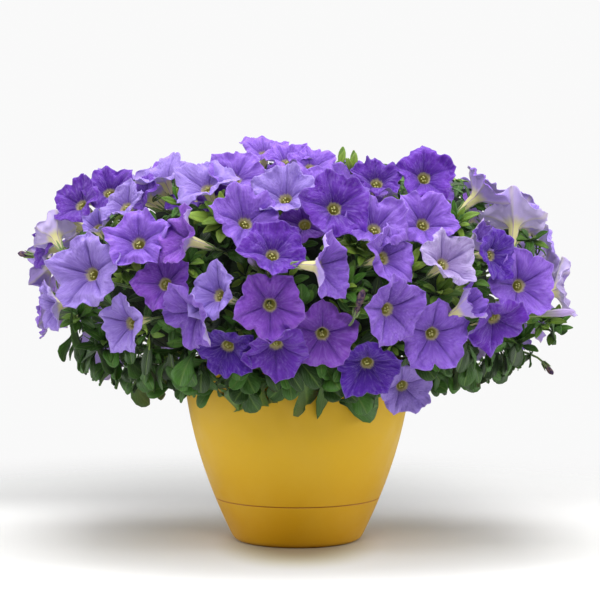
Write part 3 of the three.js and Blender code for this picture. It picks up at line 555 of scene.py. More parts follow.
def budViolet():
    made, tree, shader = newMaterial("budViolet")
    _, along, _, rib = veinsFor(tree, "petal", 0.0, 4.0)
    body = laid(tree, paint(142, 156, 88), paint(176, 150, 206), span(tree, along, 0.1, 0.7))
    coat(tree, shader, laid(tree, body, paint(96, 60, 140), rib, 0.7), 0.6, 0.3)
    bumped(tree, shader, rib, 0.6, 0.6)
    return made


potLook = {"upper": paint(214, 171, 24), "lower": paint(192, 140, 4), "fade": (0.0, 0.13),
           "seam": 0.0462, "joint": paint(152, 84, 0), "line": (0.0011, 0.0004),
           "scuff": paint(236, 206, 110), "dust": paint(214, 176, 60), "roughness": (0.37, 0.54)}


def potPlastic():
    made, tree, shader = newMaterial("potPlastic")
    look = potLook
    height = ownPlace(tree)[2]
    # darker and more orange towards the bottom; the darkness is partly painted shade
    body = laid(tree, look["lower"], look["upper"], span(tree, height, *look["fade"]))
    body = laid(tree, body, look["dust"], span(tree, grain(tree, 60.0, 4.0), 0.4, 0.7), 0.16)
    body = laid(tree, body, look["scuff"], span(tree, grain(tree, 3.0, 5.0, 0.7), 0.66, 0.74), 0.25)
    # a darker line at the seam: painted shade in the gap between pot and saucer, and partly dirt in the
    # joint
    fromSeam = sums(tree, "ABSOLUTE", sums(tree, "SUBTRACT", height, look["seam"]))
    body = laid(tree, body, look["joint"], span(tree, fromSeam, *look["line"]), 0.75)
    coat(tree, shader, body, 0.5, specular=0.3)
    rough = span(tree, grain(tree, 25.0, 5.0), 0.3, 0.7, *look["roughness"])
    join(tree, rough, shader.inputs["Roughness"])
    bumped(tree, shader, grain(tree, 0.7, 3.0), 0.25, 0.12)
    return made


def soilCrumb():
    made, tree, shader = newMaterial("soilCrumb")
    colour = laid(tree, paint(26, 18, 12), paint(76, 56, 40), span(tree, grain(tree, 3.0, 5.0), 0.35, 0.7))
    flecks = span(tree, grain(tree, 2.2, 1.0), 0.7, 0.76)
    coat(tree, shader, laid(tree, colour, paint(196, 190, 176), flecks), 0.95)
    bumped(tree, shader, grain(tree, 3.0, 6.0, 0.7), 1.0, 3.0)
    return made


looks = {
    "face": petalFace(), "back": petalBack(), "anther": plainMaterial("antherCream"), "leaf": leafFace(),
    "under": leafUnder(), "stem": plainMaterial("stemGreen"), "heart": plainMaterial("heartPaintedShade"),
    "spent": plainMaterial("spentPetal"), "bud": budViolet(), "pot": potPlastic(), "soil": soilCrumb(),
}
stage("materials made")


def meshOf(bm, name):
    mesh = bpy.data.meshes.new(name)
    bm.to_mesh(mesh)
    bm.free()
    return mesh


def addObject(name, data):
    made = bpy.data.objects.new(name, data)
    scene.collection.objects.link(made)
    return made


def finishPiece(name, bm, materials, nodes, thick=None):
    piece = addObject(name, meshOf(bm, name))
    piece.data.shade_smooth()
    for key in materials:
        piece.data.materials.append(looks[key])
    if thick:
        wall = piece.modifiers.new("wall", "SOLIDIFY")
        wall.thickness = thick * mm
        wall.offset = -1
        wall.material_offset = 1
        wall.material_offset_rim = 0
    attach(piece, "root")
    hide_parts(*nodes)
    return piece


def spin(bm, places, steps):
    # a chain of points, spun all round the axis
    chain = [bm.verts.new(place) for place in places]
    edges = [bm.edges.new(pair) for pair in zip(chain, chain[1:])]
    bmesh.ops.spin(bm, geom=chain + edges, cent=(0, 0, 0), axis=(0, 0, 1), angle=2 * math.pi,
                   steps=steps, use_merge=True)


def spunTemplate(rows, steps, inward=False):
    # a tube of rows and steps, whose corners tell their row and their angle
    bm = bmesh.new()
    spin(bm, [(1, 0, row) for row in range(rows)], steps)
    bmesh.ops.recalc_face_normals(bm, faces=bm.faces)
    if inward:
        bmesh.ops.reverse_faces(bm, faces=bm.faces)
    return meshOf(bm, "template")


def copyIn(bm, template):
    # the template's corners and faces, added to a mesh
    before = len(bm.verts)
    facesBefore = len(bm.faces)
    bm.from_mesh(template)
    bm.verts.ensure_lookup_table()
    bm.faces.ensure_lookup_table()
    return bm.verts[before:], bm.faces[facesBefore:]


# Blooms: rows from the tube's end to the rim, as shares of the tube's depth or of the petal. The tube's
# radii, mouth and thick are in millimetres, cleft and pointTurn in degrees, heights in shares of the radius.
bloomForm = {
    "tube": [(1.0, 1.8), (0.82, 2.5), (0.62, 3.2), (0.44, 3.9), (0.3, 4.5)],
    "limb": [0.07, 0.15, 0.25, 0.36, 0.48, 0.6, 0.71, 0.81, 0.9, 0.965, 1.0],
    "mouth": 5.0, "sunk": 0.15, "steps": 80, "spread": 1.04, "corner": (0.3, 0.7), "notch": (0.04, 0.17),
    "cleft": 8, "point": 0.07, "pointTurn": 5, "ragged": 0.035, "uneven": 0.06, "side": 0.809,
    "closing": 0.45, "closingRim": 0.15, "rimDrop": 0.04, "cup": 1.3, "ruffle": (0.02, 0.06),
    "frilled": 1.5, "fold": (0.18, 0.38), "foldScale": 2.4, "foldWay": Vector((3.7, 0, 1.3)),
    "crinkle": 0.1, "crinkleScale": 5.6, "crinkleWay": Vector((0, 2.1, 4.4)), "groove": 0.065,
    "seam": 0.03, "puff": 0.03, "bend": 0.17, "saddle": 0.13, "thick": 0.5,
}
petalTurn = 72
tubeRows = len(bloomForm["tube"])
bloomRows = tubeRows + 1 + len(bloomForm["limb"])
bloomTemplate = spunTemplate(bloomRows, bloomForm["steps"], inward=True)


def limbPoint(plan, degrees, share):
    # a corner of the petals: distance from the middle and height, as shares of the radius
    form = bloomForm
    number = plan["id"]
    closed = 1 - plan["open"]
    k = round(degrees / petalTurn)
    petal = k % 5
    off = abs(degrees - petalTurn * k)
    fromSeam = petalTurn / 2 - off
    middling = math.cos(math.radians(off) * 2.5)
    angle = math.radians(degrees)
    # the outline: part pentagon and part circle, with a point on each petal and a notch between two
    straight = form["side"] / math.cos(math.radians(fromSeam))
    outline = form["spread"] * (1 - within(form["corner"], chance(number, 36)) * (1 - straight))
    outline += form["ragged"] * noise.noise(Vector((0.13 * degrees, 3.1 * number, 0)))
    notch = within(form["notch"], chance(number, 31 + petal))
    outline -= notch * math.exp(-((fromSeam / form["cleft"]) ** 2))
    outline += form["point"] * math.exp(-off / form["pointTurn"])
    outline += swing(number, 56 + petal, form["uneven"]) * middling
    narrow = 1 - closed * (form["closing"] + form["closingRim"] * share)
    mouth = form["mouth"] / plan["radius"]
    wide = mouth + (outline * narrow - mouth) * share
    # the height: a flared trumpet, then ruffles, folds, crinkles, and each petal's own bend
    lift = petalLift * share ** 0.85 - form["rimDrop"] * share ** 6 + closed * (form["cup"] * share ** 1.3)
    lift -= form["sunk"] * math.exp(-share / 0.14)
    outer = smooth(0.35, 1.0, share)
    ruffle = within(form["ruffle"], chance(number, 41 + petal))
    if plan["tint"] == "p":
        ruffle *= form["frilled"]
    lift += ruffle * outer * math.sin(angle * 10 + 6.28 * chance(number, 51 + petal))
    spot = Vector((math.cos(angle), math.sin(angle), 0)) * share
    fold = within(form["fold"], chance(number, 46))
    lift += fold * outer * noise.noise(spot * form["foldScale"] + form["foldWay"] * number)
    lift += form["crinkle"] * outer * noise.noise(spot * form["crinkleScale"] + form["crinkleWay"] * number)
    lift += form["puff"] * math.sin(math.pi * off / 36) ** 2 * math.sin(math.pi * share ** 0.8)
    lift -= form["groove"] * math.exp(-((off / 4) ** 2)) * math.sin(math.pi * min(1, share + 0.05))
    lift -= form["seam"] * math.exp(-((fromSeam / 6) ** 2)) * smooth(0.1, 0.7, share)
    lift += (swing(number, 61 + petal, form["bend"]) - 0.02) * share ** 2 * middling
    saddle = swing(number, 66, form["saddle"])
    lift += saddle * share ** 2 * math.cos(math.radians(2 * degrees) + 6.28 * chance(number, 67))
    return wide, lift


def shapeBloom(bm, plan, layers):
    corners, faces = copyIn(bm, bloomTemplate)
    right, over, facing = axesOf(plan["facing"])
    radius = plan["radius"]
    shade = 1 + swing(plan["id"], 71, 0.1)
    colour = [min(1, channel * shade) for channel in tints[plan["tint"]][:3]] + [1.0]
    places = {}
    for corner in corners:
        row = round(corner.co.z)
        degrees = math.degrees(math.atan2(corner.co.y, corner.co.x))
        if row < tubeRows:
            share, distance = bloomForm["tube"][row]
            distance *= 1 + 0.05 * math.cos(math.radians(degrees) * 5)
            height = -tubeShare * radius * share
            along = 0.3 * (1 - share)
        elif row == tubeRows:
            distance = bloomForm["mouth"]
            height = -bloomForm["sunk"] * radius
            along = 0.34
        else:
            share = bloomForm["limb"][row - tubeRows - 1]
            wide, lift = limbPoint(plan, degrees, share)
            distance = wide * radius
            height = lift * radius
            along = 0.36 + 0.64 * share
        turned = math.radians(degrees + 90 + plan["roll"])
        corner.co = (plan["at"] + facing * height + aside(right, over, turned, distance)) * mm
        off = abs(degrees - petalTurn * round(degrees / petalTurn)) / (petalTurn / 2)
        places[corner] = (off, along)
        corner[layers["tint"]] = colour
    for face in faces:
        for loop in face.loops:
            loop[layers["uv"]].uv = places[loop.vert]


stamenForm = {"count": 5, "turn": 72, "aside": 2.2, "pistil": 1.2, "sunk": 2.6, "step": 0.5, "radius": 1.05,
              "tint": (0.5, 0.5, 0.3, 1.0)}


def addAnthers(bm, plan, layers):
    # a pistil and its stamens, just inside the throat
    form = stamenForm
    right, over, facing = axesOf(plan["facing"])
    for i in range(form["count"]):
        turned = math.radians(form["turn"] * i + 40 * chance(plan["id"], 81))
        depth = form["sunk"] + i * form["step"] if i else form["pistil"]
        place = plan["at"] - facing * depth + aside(right, over, turned, form["aside"] if i else 0)
        made = bmesh.ops.create_icosphere(bm, subdivisions=1, radius=form["radius"] * mm)
        bmesh.ops.translate(bm, verts=made["verts"], vec=place * mm)
        for corner in made["verts"]:
            corner[layers["tint"]] = form["tint"]
            for face in corner.link_faces:
                face.material_index = 2


def makeBlooms():
    surfaces = bmesh.new()
    for number, name in enumerate(bloomNodes):
        bm = bmesh.new()
        layers = {"uv": bm.loops.layers.uv.new("petal"), "tint": bm.verts.layers.float_color.new("tint")}
        for plan in plans:
            if plan["node"] == name:
                shapeBloom(bm, plan, layers)
                addAnthers(bm, plan, layers)
        sheet = bpy.data.meshes.new("sheet")
        bm.to_mesh(sheet)
        surfaces.from_mesh(sheet)
        bpy.data.meshes.remove(sheet)
        finishPiece("bloomGroup_%02d" % (number + 1), bm, ("face", "back", "anther"), [name],
                    bloomForm["thick"])
    tree = BVHTree.FromBMesh(surfaces)
    surfaces.free()
    return tree


bloomTree = makeBlooms()
stage("blooms made")

# Pot and saucer: both sides lie on one curve
sideCurve = {"foot": 67.4, "slope": 0.515, "curl": 0.00117}
potForm = {"wall": 2.4, "seam": 46, "gap": 0.35, "floor": 17, "floorThick": 3, "lower": 69.5, "shoulder": 84,
           "under": 183, "top": 192, "rim": 127, "drainCount": 5, "drain": 5, "drainRing": 46,
           "holeCount": 3, "hole": 2.5, "holeHeight": 175, "through": 10, "steps": 128,
           "underCurve": 1.6, "rimCurve": 2.2, "lipCurve": 1.0, "sideRows": 18, "insideRows": 12}
saucerForm = {"flat": 59, "round": 6, "floor": 4.5, "lip": 0.8}
soilForm = {"low": 52, "edge": 174, "top": 183, "sideRows": 6, "rings": 20, "steps": 96, "clear": 0.7,
            "lump": 2.4, "lumpMost": 2.2, "lumpScale": 60}


def sideRadius(height):
    return sideCurve["foot"] + sideCurve["slope"] * height - sideCurve["curl"] * height * height


def sidePoints(low, high, count, inset):
    return [(sideRadius(low + (high - low) * i / count) - inset, low + (high - low) * i / count)
            for i in range(count + 1)]


def turnedShell(profile, steps):
    # a closed profile of radius and height, spun round the axis
    bm = bmesh.new()
    spin(bm, [(radius * mm, 0, height * mm) for radius, height in profile], steps)
    bmesh.ops.remove_doubles(bm, verts=bm.verts, dist=0.01 * mm)
    bmesh.ops.recalc_face_normals(bm, faces=bm.faces)
    return bm


def roundCorner(corner, before, after, size, count=4):
    # points of a rounded corner between two straight runs
    corner = Vector(corner)
    start = corner + (Vector(before) - corner).normalized() * size
    end = corner + (Vector(after) - corner).normalized() * size
    points = []
    for i in range(count + 1):
        t = i / count
        points.append(tuple(start * (1 - t) ** 2 + corner * (2 * t * (1 - t)) + end * t ** 2))
    return points


def cutHoles(bm, holes):
    # plain round holes: each cutter is a cylinder from one point to another
    target = addObject("body", meshOf(bm, "body"))
    cutters = bmesh.new()
    for start, end, radius in holes:
        made = bmesh.ops.create_cone(cutters, segments=24, radius1=radius * mm, radius2=radius * mm,
                                     depth=(end - start).length * mm, cap_ends=True)
        turn = Vector((0, 0, 1)).rotation_difference(end - start).to_matrix()
        bmesh.ops.rotate(cutters, verts=made["verts"], cent=(0, 0, 0), matrix=turn)
        bmesh.ops.translate(cutters, verts=made["verts"], vec=(start + end) * 0.5 * mm)
    cutter = addObject("cutters", meshOf(cutters, "cutters"))
    step = target.modifiers.new("holes", "BOOLEAN")
    step.object = cutter
    step.operation = "DIFFERENCE"
    step.solver = "EXACT"
    shown = target.evaluated_get(bpy.context.evaluated_depsgraph_get())
    result = bmesh.new()
    result.from_mesh(shown.to_mesh())
    shown.to_mesh_clear()
    bpy.data.objects.remove(target)
    bpy.data.objects.remove(cutter)
    return result


def sharpen(piece, degrees):
    edge = piece.modifiers.new("edges", "EDGE_SPLIT")
    edge.split_angle = math.radians(degrees)


def makePot():
    form = potForm
    gap = form["seam"] + form["gap"]
    side = sidePoints(gap, form["under"], form["sideRows"], 0)
    inside = sidePoints(form["under"] + 5, gap + 6, form["insideRows"], form["wall"])
    under = (form["rim"], form["under"])
    top = (form["rim"], form["top"])
    inTop = (sideRadius(form["top"]) - form["wall"], form["top"])
    profile = [(0, form["floor"]), (form["lower"] - 1, form["floor"]), (form["lower"], form["floor"] + 1)]
    profile += [(form["shoulder"], gap)] + side
    profile += roundCorner(under, side[-1], top, form["underCurve"])
    profile += roundCorner(top, under, inTop, form["rimCurve"])
    profile += roundCorner(inTop, top, inside[0], form["lipCurve"])
    profile += inside
    profile += [(form["lower"] - form["wall"] + 1, form["floor"] + form["floorThick"])]
    profile += [(0, form["floor"] + form["floorThick"])]
    holes = []
    ring = form["drainRing"]
    for i in range(form["drainCount"]):
        turn = 2 * math.pi * i / form["drainCount"]
        place = Vector((ring * math.cos(turn), ring * math.sin(turn), form["floor"]))
        holes.append((place - Vector((0, 0, 6)), place + Vector((0, 0, 9)), form["drain"]))
    for i in range(form["holeCount"]):
        turn = math.radians(90 + 360 * i / form["holeCount"])
        out = Vector((math.cos(turn), math.sin(turn), 0))
        middle = out * sideRadius(form["holeHeight"]) + Vector((0, 0, form["holeHeight"]))
        holes.append((middle - out * form["through"], middle + out * form["through"], form["hole"]))
    bm = cutHoles(turnedShell(profile, form["steps"]), holes)
    return finishPiece("pot_wall", bm, ("pot",), ["pot"])


def makeSaucer():
    form = saucerForm
    top = potForm["seam"]
    wall = potForm["wall"]
    side = sidePoints(form["round"], top - form["lip"], 10, 0)
    inside = sidePoints(top - form["lip"], form["floor"] + 2, 6, wall)
    corner = (sideRadius(0) - 0.4, 0)
    profile = [(0, 0), (form["flat"], 0)]
    profile += roundCorner(corner, (form["flat"], 0), side[0], form["round"], 7)[1:-1]
    profile += side
    profile += [(sideRadius(top) - 0.7, top), (sideRadius(top) - wall + 0.6, top)]
    profile += inside
    profile += [(sideRadius(form["floor"]) - wall - 3, form["floor"]), (0, form["floor"])]
    return finishPiece("saucer_dish", turnedShell(profile, potForm["steps"]), ("pot",), ["saucer"])


def makeSoil():
    form = soilForm
    floor = potForm["floor"] + potForm["floorThick"] + potForm["gap"]
    edge = sidePoints(form["low"], form["edge"], form["sideRows"], potForm["wall"] + form["clear"])
    low = potForm["lower"] - potForm["wall"] - 1
    profile = [(0, floor), (low, floor)] + edge
    radius = edge[-1][0]
    for i in range(1, form["rings"]):
        share = 1 - i / form["rings"]
        profile.append((radius * share, form["edge"] + (form["top"] - form["edge"]) * (1 - share ** 2)))
    profile.append((0, form["top"]))
    bm = turnedShell(profile, form["steps"])
    for corner in bm.verts:
        reach = math.hypot(corner.co.x, corner.co.y) / mm
        if corner.co.z > (form["edge"] - 0.1) * mm and reach < radius - 1:
            lump = noise.fractal(corner.co * form["lumpScale"], 1.0, 2.0, 4)
            corner.co.z += min(form["lumpMost"], form["lump"] * lump) * mm
    finishPiece("soil_bed", bm, ("soil",), ["soil"])


sharpen(makePot(), 40)
sharpen(makeSaucer(), 40)
makeSoil()
stage("pot, saucer and soil made")

# Foliage

leafForm = {
    "rows": [(0.0, 0.12), (0.18, 0.24), (0.38, 0.66), (0.58, 0.96), (0.76, 0.98), (0.9, 0.74), (0.975, 0.42),
             (1.0, 0.16)],
    "across": 4, "thick": 0.6, "fold": 0.16, "arch": 0.16, "wave": 0.05, "outTo": 0.94, "downTo": 138,
    "beside": 26, "besideFrom": (90, 140), "rise": 36, "riseFrom": (190, 275), "guard": 60, "backGuard": 30,
}


def leafTemplate():
    bm = bmesh.new()
    rows = len(leafForm["rows"])
    bmesh.ops.create_grid(bm, x_segments=leafForm["across"], y_segments=rows - 1, size=1)
    for corner in bm.verts:
        corner.co.y = round((corner.co.y + 1) / 2 * (rows - 1))
    return meshOf(bm, "leafTemplate")


bladeTemplate = leafTemplate()


def leafPlaces(leaf):
    # the places of a leaf's corners, in millimetres, with their shares across and along
    along = leaf["tip"] - leaf["base"]
    length = along.length
    along.normalize()
    across = along.cross(leaf["face"]).normalized()
    out = across.cross(along)
    number = leaf["id"]
    fold = leafForm["fold"] * (0.5 + chance(number, 2))
    arch = leaf.get("arch", leafForm["arch"] * (0.3 + 1.4 * chance(number, 3)))
    wave = leafForm["wave"] * leaf["breadth"]
    side = swing(number, 4, 0.12)
    taper = leaf.get("taper", 0)
    places = []
    for corner in bladeTemplate.vertices:
        share, wide = leafForm["rows"][round(corner.co.y)]
        x = corner.co.x * wide * (1 - taper * share ** 3) * leaf["breadth"] / 2
        z = arch * length * (4 * share * (1 - share) * 0.6 - share ** 3 * 0.35)
        z += fold * abs(x) + wave * corner.co.x ** 2 * math.sin(9 * share + number)
        place = leaf["base"] + along * (share * length) + across * (x + side * length * share * (1 - share))
        places.append((place + out * z, abs(corner.co.x), share))
    return places


bladeFaces = [tuple(face.vertices) for face in bladeTemplate.polygons]


def crossesBloom(places):
    leafTree = BVHTree.FromPolygons([place * mm for place, _, _ in places], bladeFaces)
    return bool(leafTree.overlap(bloomTree))


def hidesBloom(places, reach):
    # whether a bloom lies just behind the leaf, as the camera sees it, or towards the plant's middle
    for place, across, share in places:
        if across > 0.4 or share < 0.4:
            continue
        away = place - viewer if place.y < dome["backFrom"] else dome["middle"] - place
        if bloomTree.ray_cast(place * mm, away.normalized(), reach * mm)[0] is not None:
            return True
    return False


def fanOf(point):
    # which of the eight plants a point belongs to
    turn = math.degrees(math.atan2(point.y, point.x)) + 90 + 360
    return round(turn / 45) % 8


def stemTurn(k):
    return math.radians(-90 + 45 * k)


fans = []
for _ in leafyNodes:
    fan = bmesh.new()
    fans.append({"bm": fan, "uv": fan.loops.layers.uv.new("blade"),
                 "tone": fan.verts.layers.float.new("tone")})


def growLeaf(leaf, places):
    fan = fans[fanOf(leaf["base"])]
    corners, faces = copyIn(fan["bm"], bladeTemplate)
    shares = {}
    for corner, (place, across, along) in zip(corners, places):
        corner.co = place * mm
        corner[fan["tone"]] = leaf["tone"]
        shares[corner] = (across, along)
    for face in faces:
        for loop in face.loops:
            loop[fan["uv"]].uv = shares[loop.vert]


def domeScale(point):
    # how far out a point lies, as a share of the dome
    reach, power = domeSide(point.z > dome["widest"])
    flat = math.hypot(point.x / dome["across"], point.y / dome["deep"])
    return (flat ** power + (abs(point.z - dome["widest"]) / reach) ** power) ** (1 / power)


def lowEdge(point):
    # how low the leaves hang, by how far out they are
    form = leafForm
    out = math.hypot(point.x, point.y * dome["across"] / dome["deep"])
    beside = smooth(*form["besideFrom"], math.hypot(point.x, max(0, point.y)))
    return form["downTo"] + form["beside"] * beside + form["rise"] * smooth(*form["riseFrom"], out) * beside


def tryLeaf(leaf, guard, inside):
    # grows a leaf that crosses and hides no bloom and, where inside is true, stays in the dome
    tip = leaf["tip"]
    places = leafPlaces(leaf)
    if inside and (domeScale(tip) > leafForm["outTo"] or tip.z < lowEdge(tip)):
        return False
    if crossesBloom(places):
        return False
    if guard and hidesBloom(places, guard if tip.y < dome["backFrom"] else leafForm["backGuard"]):
        return False
    growLeaf(leaf, places)
    return True


def growSprig(root, out, number, count, habit, guard, inside):
    # leaves round a short shoot, each tried again a little further out where it doesn't fit
    side = out.orthogonal().normalized()
    other = out.cross(side)
    grown = 0
    for j in range(count):
        for attempt in range(3):
            turned, lean, length, breadth, taper, tone = habit(number + j, j, attempt)
            around = aside(side, other, turned)
            way = out * math.cos(lean) + around * math.sin(lean)
            face = out * math.sin(lean) - around * math.cos(lean)
            leaf = {"id": number + j, "base": root + way * 2, "tip": root + way * length, "face": face,
                    "breadth": breadth, "taper": taper, "tone": tone}
            if tryLeaf(leaf, guard, inside):
                grown += 1
                break
    return grown


shootForm = {
    "count": 480, "turn": 2.399963, "low": -0.64, "scale": (0.74, 0.91), "leaves": 8, "length": (18, 40),
    "broad": (0.26, 0.5), "lean": (0.4, 1.3), "upwards": 0.25, "bright": 0.3,
    "youngLength": 0.7, "youngTone": 0.42,
}


def domePoint(direction, scale):
    # a point under the dome in a direction from its middle
    reach, power = domeSide(direction.z > 0)
    flat = math.hypot(direction.x / dome["across"], direction.y / dome["deep"])
    size = (flat ** power + (abs(direction.z) / reach) ** power) ** (-1 / power)
    point = direction * size * scale
    point.z += dome["widest"]
    return point


def growShoots():
    form = shootForm
    grown = 0
    for i in range(form["count"]):
        z = form["low"] + (1 - form["low"]) * (i + 0.5) / form["count"]
        flat = math.sqrt(1 - z * z)
        turn = i * form["turn"]
        direction = Vector((flat * math.cos(turn), flat * math.sin(turn), z))
        root = domePoint(direction, within(form["scale"], chance(i, 11)))
        out = Vector((root.x / dome["across"] ** 2, root.y / dome["deep"] ** 2,
                      (root.z - dome["widest"]) / dome["above"][0] ** 2)).normalized()
        out = (out + Vector((0, 0, form["upwards"]))).normalized()
        young = chance(i, 12) < form["bright"]
        broad = within(form["broad"], chance(i, 17))

        def habit(number, j, attempt):
            turned = 2.4 * j + 6.28 * chance(i, 13) + 0.9 * attempt
            lean = within(form["lean"], (j + 1) / form["leaves"]) + 0.15 * attempt
            length = within(form["length"], chance(number, 14))
            length *= (form["youngLength"] if young else 1) * (1 - 0.14 * attempt)
            breadth = length * broad * (0.85 + 0.3 * chance(number, 16))
            tone = 0.05 + 0.55 * chance(number, 15) + (form["youngTone"] if young else 0)
            return turned, lean, length, breadth, 0.5 if young else 0.2, tone

        grown += growSprig(root, out, 1000 + 20 * i, form["leaves"], habit, leafForm["guard"], True)
    return grown


# Young shoots that show between the front blooms: across, up, leaves, length, tone
frontShoots = [
    (44, 392, 13, 17, 0.95), (58, 389, 11, 16, 0.85), (-185, 289, 13, 22, 0.8), (-176, 300, 11, 20, 0.7),
    (72, 305, 13, 21, 0.85), (58, 312, 11, 18, 0.7), (185, 273, 12, 20, 0.75), (51, 267, 12, 20, 0.7),
    (-78, 337, 13, 24, 0.85), (-88, 352, 11, 22, 0.75), (-122, 356, 11, 18, 0.7), (-118, 292, 11, 20, 0.6),
    (-60, 224, 11, 18, 0.6), (54, 248, 12, 20, 0.7), (118, 284, 11, 18, 0.75), (150, 262, 11, 18, 0.7),
    (-234, 236, 11, 22, 0.5), (-206, 206, 12, 22, 0.45), (262, 232, 12, 20, 0.7), (274, 222, 11, 20, 0.65),
    (238, 208, 11, 22, 0.5), (170, 336, 11, 18, 0.7), (208, 350, 10, 16, 0.7), (-36, 280, 11, 18, 0.6),
    (248, 318, 11, 18, 0.6), (200, 290, 12, 22, 0.4), (120, 344, 10, 16, 0.7), (30, 176, 12, 24, 0.35),
    (-30, 172, 12, 24, 0.35),
]


def growFrontShoots():
    grown = 0
    for i, (across, height, leaves, length, tone) in enumerate(frontShoots):
        root = seenOnDome(across, height, 34)
        out = ((viewer - root).normalized() * 0.75 + Vector((0, 0, 0.45))).normalized()

        def habit(number, j, attempt):
            lean = 0.2 + 0.9 * (j + 1) / leaves + 0.1 * attempt
            size = length * (1.25 + 0.5 * chance(number, 1)) * (1 - 0.12 * attempt)
            breadth = size * (0.27 + 0.1 * chance(number, 2))
            return 2.4 * j + 0.8 * attempt + i, lean, size, breadth, 0.5, tone + swing(number, 5, 0.25)

        grown += growSprig(root, out, 7000 + 20 * i, leaves, habit, leafForm["backGuard"], False)
    return grown


# Leaves of the lower fringe: base across and up, tip across and up, breadth
fringeLeaves = [
    (-241, 248, -233, 205, 15), (-217, 214, -198, 181, 17), (-212, 204, -229, 194, 15),
    (-185, 203, -168, 179, 26), (-171, 180, -162, 146, 17), (-158, 187, -144, 155, 20),
    (-136, 198, -120, 160, 30), (-104, 182, -94, 160, 20), (-62, 166, -69, 140, 17),
    (-35, 168, -53, 130, 28), (-24, 162, -38, 122, 27), (3, 190, 11, 142, 36), (29, 170, 38, 134, 30),
    (83, 152, 56, 122, 30), (45, 148, 88, 142, 27), (174, 190, 163, 165, 18), (182, 203, 180, 173, 15),
    (211, 186, 193, 173, 17), (254, 203, 233, 187, 17), (249, 203, 249, 184, 12),
    (270, 235, 272, 214, 16), (281, 233, 284, 219, 14),
]


fringeForm = {"insets": (0, 6, 12, 20, 30, 42, 56), "base": 14, "tip": 4, "fan": 0.33, "upwards": 10,
              "swing": 24, "broad": 1.32, "dark": 0.08, "lighter": 0.36, "arch": 0.08}


def growFringe():
    # each leaf goes a little further in where it doesn't fit
    form = fringeForm
    grown = 0
    for i, (baseAcross, baseHeight, tipAcross, tipHeight, breadth) in enumerate(fringeLeaves):
        for inset in form["insets"]:
            base = seenOnDome(baseAcross, baseHeight, form["base"] + inset)
            tip = seenOnDome(tipAcross, tipHeight, form["tip"] + inset)
            turn = base.x * form["fan"] + swing(i, 60, form["swing"])
            face = facingOf(turn, form["upwards"] + swing(i, 61, form["swing"]))
            leaf = {"id": i, "base": base, "tip": tip, "face": face, "breadth": breadth * form["broad"],
                    "tone": form["dark"] + form["lighter"] * chance(i, 17), "arch": form["arch"]}
            if tryLeaf(leaf, 0, False):
                grown += 1
                break
    return grown


# Rings of leaves that hang below the blooms: height, inset, drop, count
skirtRings = [(182, 18, 18, 76), (198, 22, 24, 84), (213, 28, 28, 84)]
# turn to drop: how far a leaf swings from its ring's values; tip, ahead and breadth: a value and its swing
skirtForm = {"turn": 5, "height": 9, "inset": 6, "facing": 34, "aside": 28, "drop": 8, "tip": (6, 30),
             "ahead": (9, 8), "breadth": (19, 7), "dark": 0.08, "lighter": 0.42, "arch": 0.1}


def growSkirt():
    form = skirtForm
    grown = 0
    for r, (height, inset, drop, count) in enumerate(skirtRings):
        for i in range(count):
            number = 300 + 100 * r + i
            turn = 360 * i / count + swing(number, 70, form["turn"])
            upAt = height + swing(number, 71, form["height"])
            base = onBackDome(turn, upAt, inset + swing(number, 76, form["inset"]))
            away = 180 - turn + swing(number, 74, form["facing"])
            face = facingOf(away, about(form["tip"], number, 75))
            side = Vector((0, 0, 1)).cross(face).normalized() * swing(number, 78, form["aside"])
            fall = Vector((0, 0, drop + swing(number, 73, form["drop"])))
            tip = base + face * about(form["ahead"], number, 72) + side - fall
            raised = Vector((0, 0, max(0, lowEdge(tip) - tip.z)))
            leaf = {"id": number, "base": base + raised, "tip": tip + raised, "face": face,
                    "breadth": about(form["breadth"], number, 77), "arch": form["arch"],
                    "tone": form["dark"] + form["lighter"] * chance(number, 79)}
            grown += tryLeaf(leaf, leafForm["guard"], False)
    return grown


grownLeaves = growFringe() + growSkirt() + growFrontShoots() + growShoots()
stage(str(grownLeaves) + " leaves grown")

# Stalks, calyxes and buds

stalkForm = {"rows": 9, "sides": 7, "reach": 26, "narrow": 0.85, "widen": 0.05, "hairyRows": 5}
stalkTemplate = spunTemplate(stalkForm["rows"], stalkForm["sides"])
stalks = []
for _ in leafyNodes:
    bundle = bmesh.new()
    stalks.append({"bm": bundle, "uv": bundle.loops.layers.uv.new("petal")})


def sweepInto(bundle, path, radii, material=0, ribs=0.0):
    # a tube along a path of points, with a radius for each
    corners, faces = copyIn(bundle["bm"], stalkTemplate)
    last = len(path) - 1
    frames = []
    side = (path[1] - path[0]).orthogonal().normalized()
    for i in range(len(path)):
        ahead = (path[min(i + 1, last)] - path[max(i - 1, 0)]).normalized()
        side = (side - ahead * side.dot(ahead)).normalized()
        frames.append((side.copy(), ahead.cross(side)))
    shares = {}
    for corner in corners:
        row = corner.co.z / (stalkForm["rows"] - 1) * last
        i = min(last - 1, int(row))
        t = row - i
        place = path[i].lerp(path[i + 1], t)
        radius = radii[i] * (1 - t) + radii[i + 1] * t
        turned = math.atan2(corner.co.y, corner.co.x)
        radius *= 1 + ribs * math.cos(5 * turned)
        shares[corner] = (0.5 + 0.5 * math.cos(turned * 5), row / last)
        a, b = frames[round(row)]
        corner.co = (place + a * (radius * math.cos(turned)) + b * (radius * math.sin(turned))) * mm
    for face in faces:
        face.material_index = material
        for loop in face.loops:
            loop[bundle["uv"]].uv = shares[loop.vert]


hairForm = {"length": (0.9, 1.9), "root": 0.09, "onStalk": 46, "onCalyx": 40, "onTube": 30}


def hairTemplate():
    bm = bmesh.new()
    bmesh.ops.create_cone(bm, segments=3, radius1=1, radius2=0, depth=1, cap_ends=True)
    bmesh.ops.translate(bm, verts=bm.verts, vec=(0, 0, 0.5))
    return meshOf(bm, "hair")


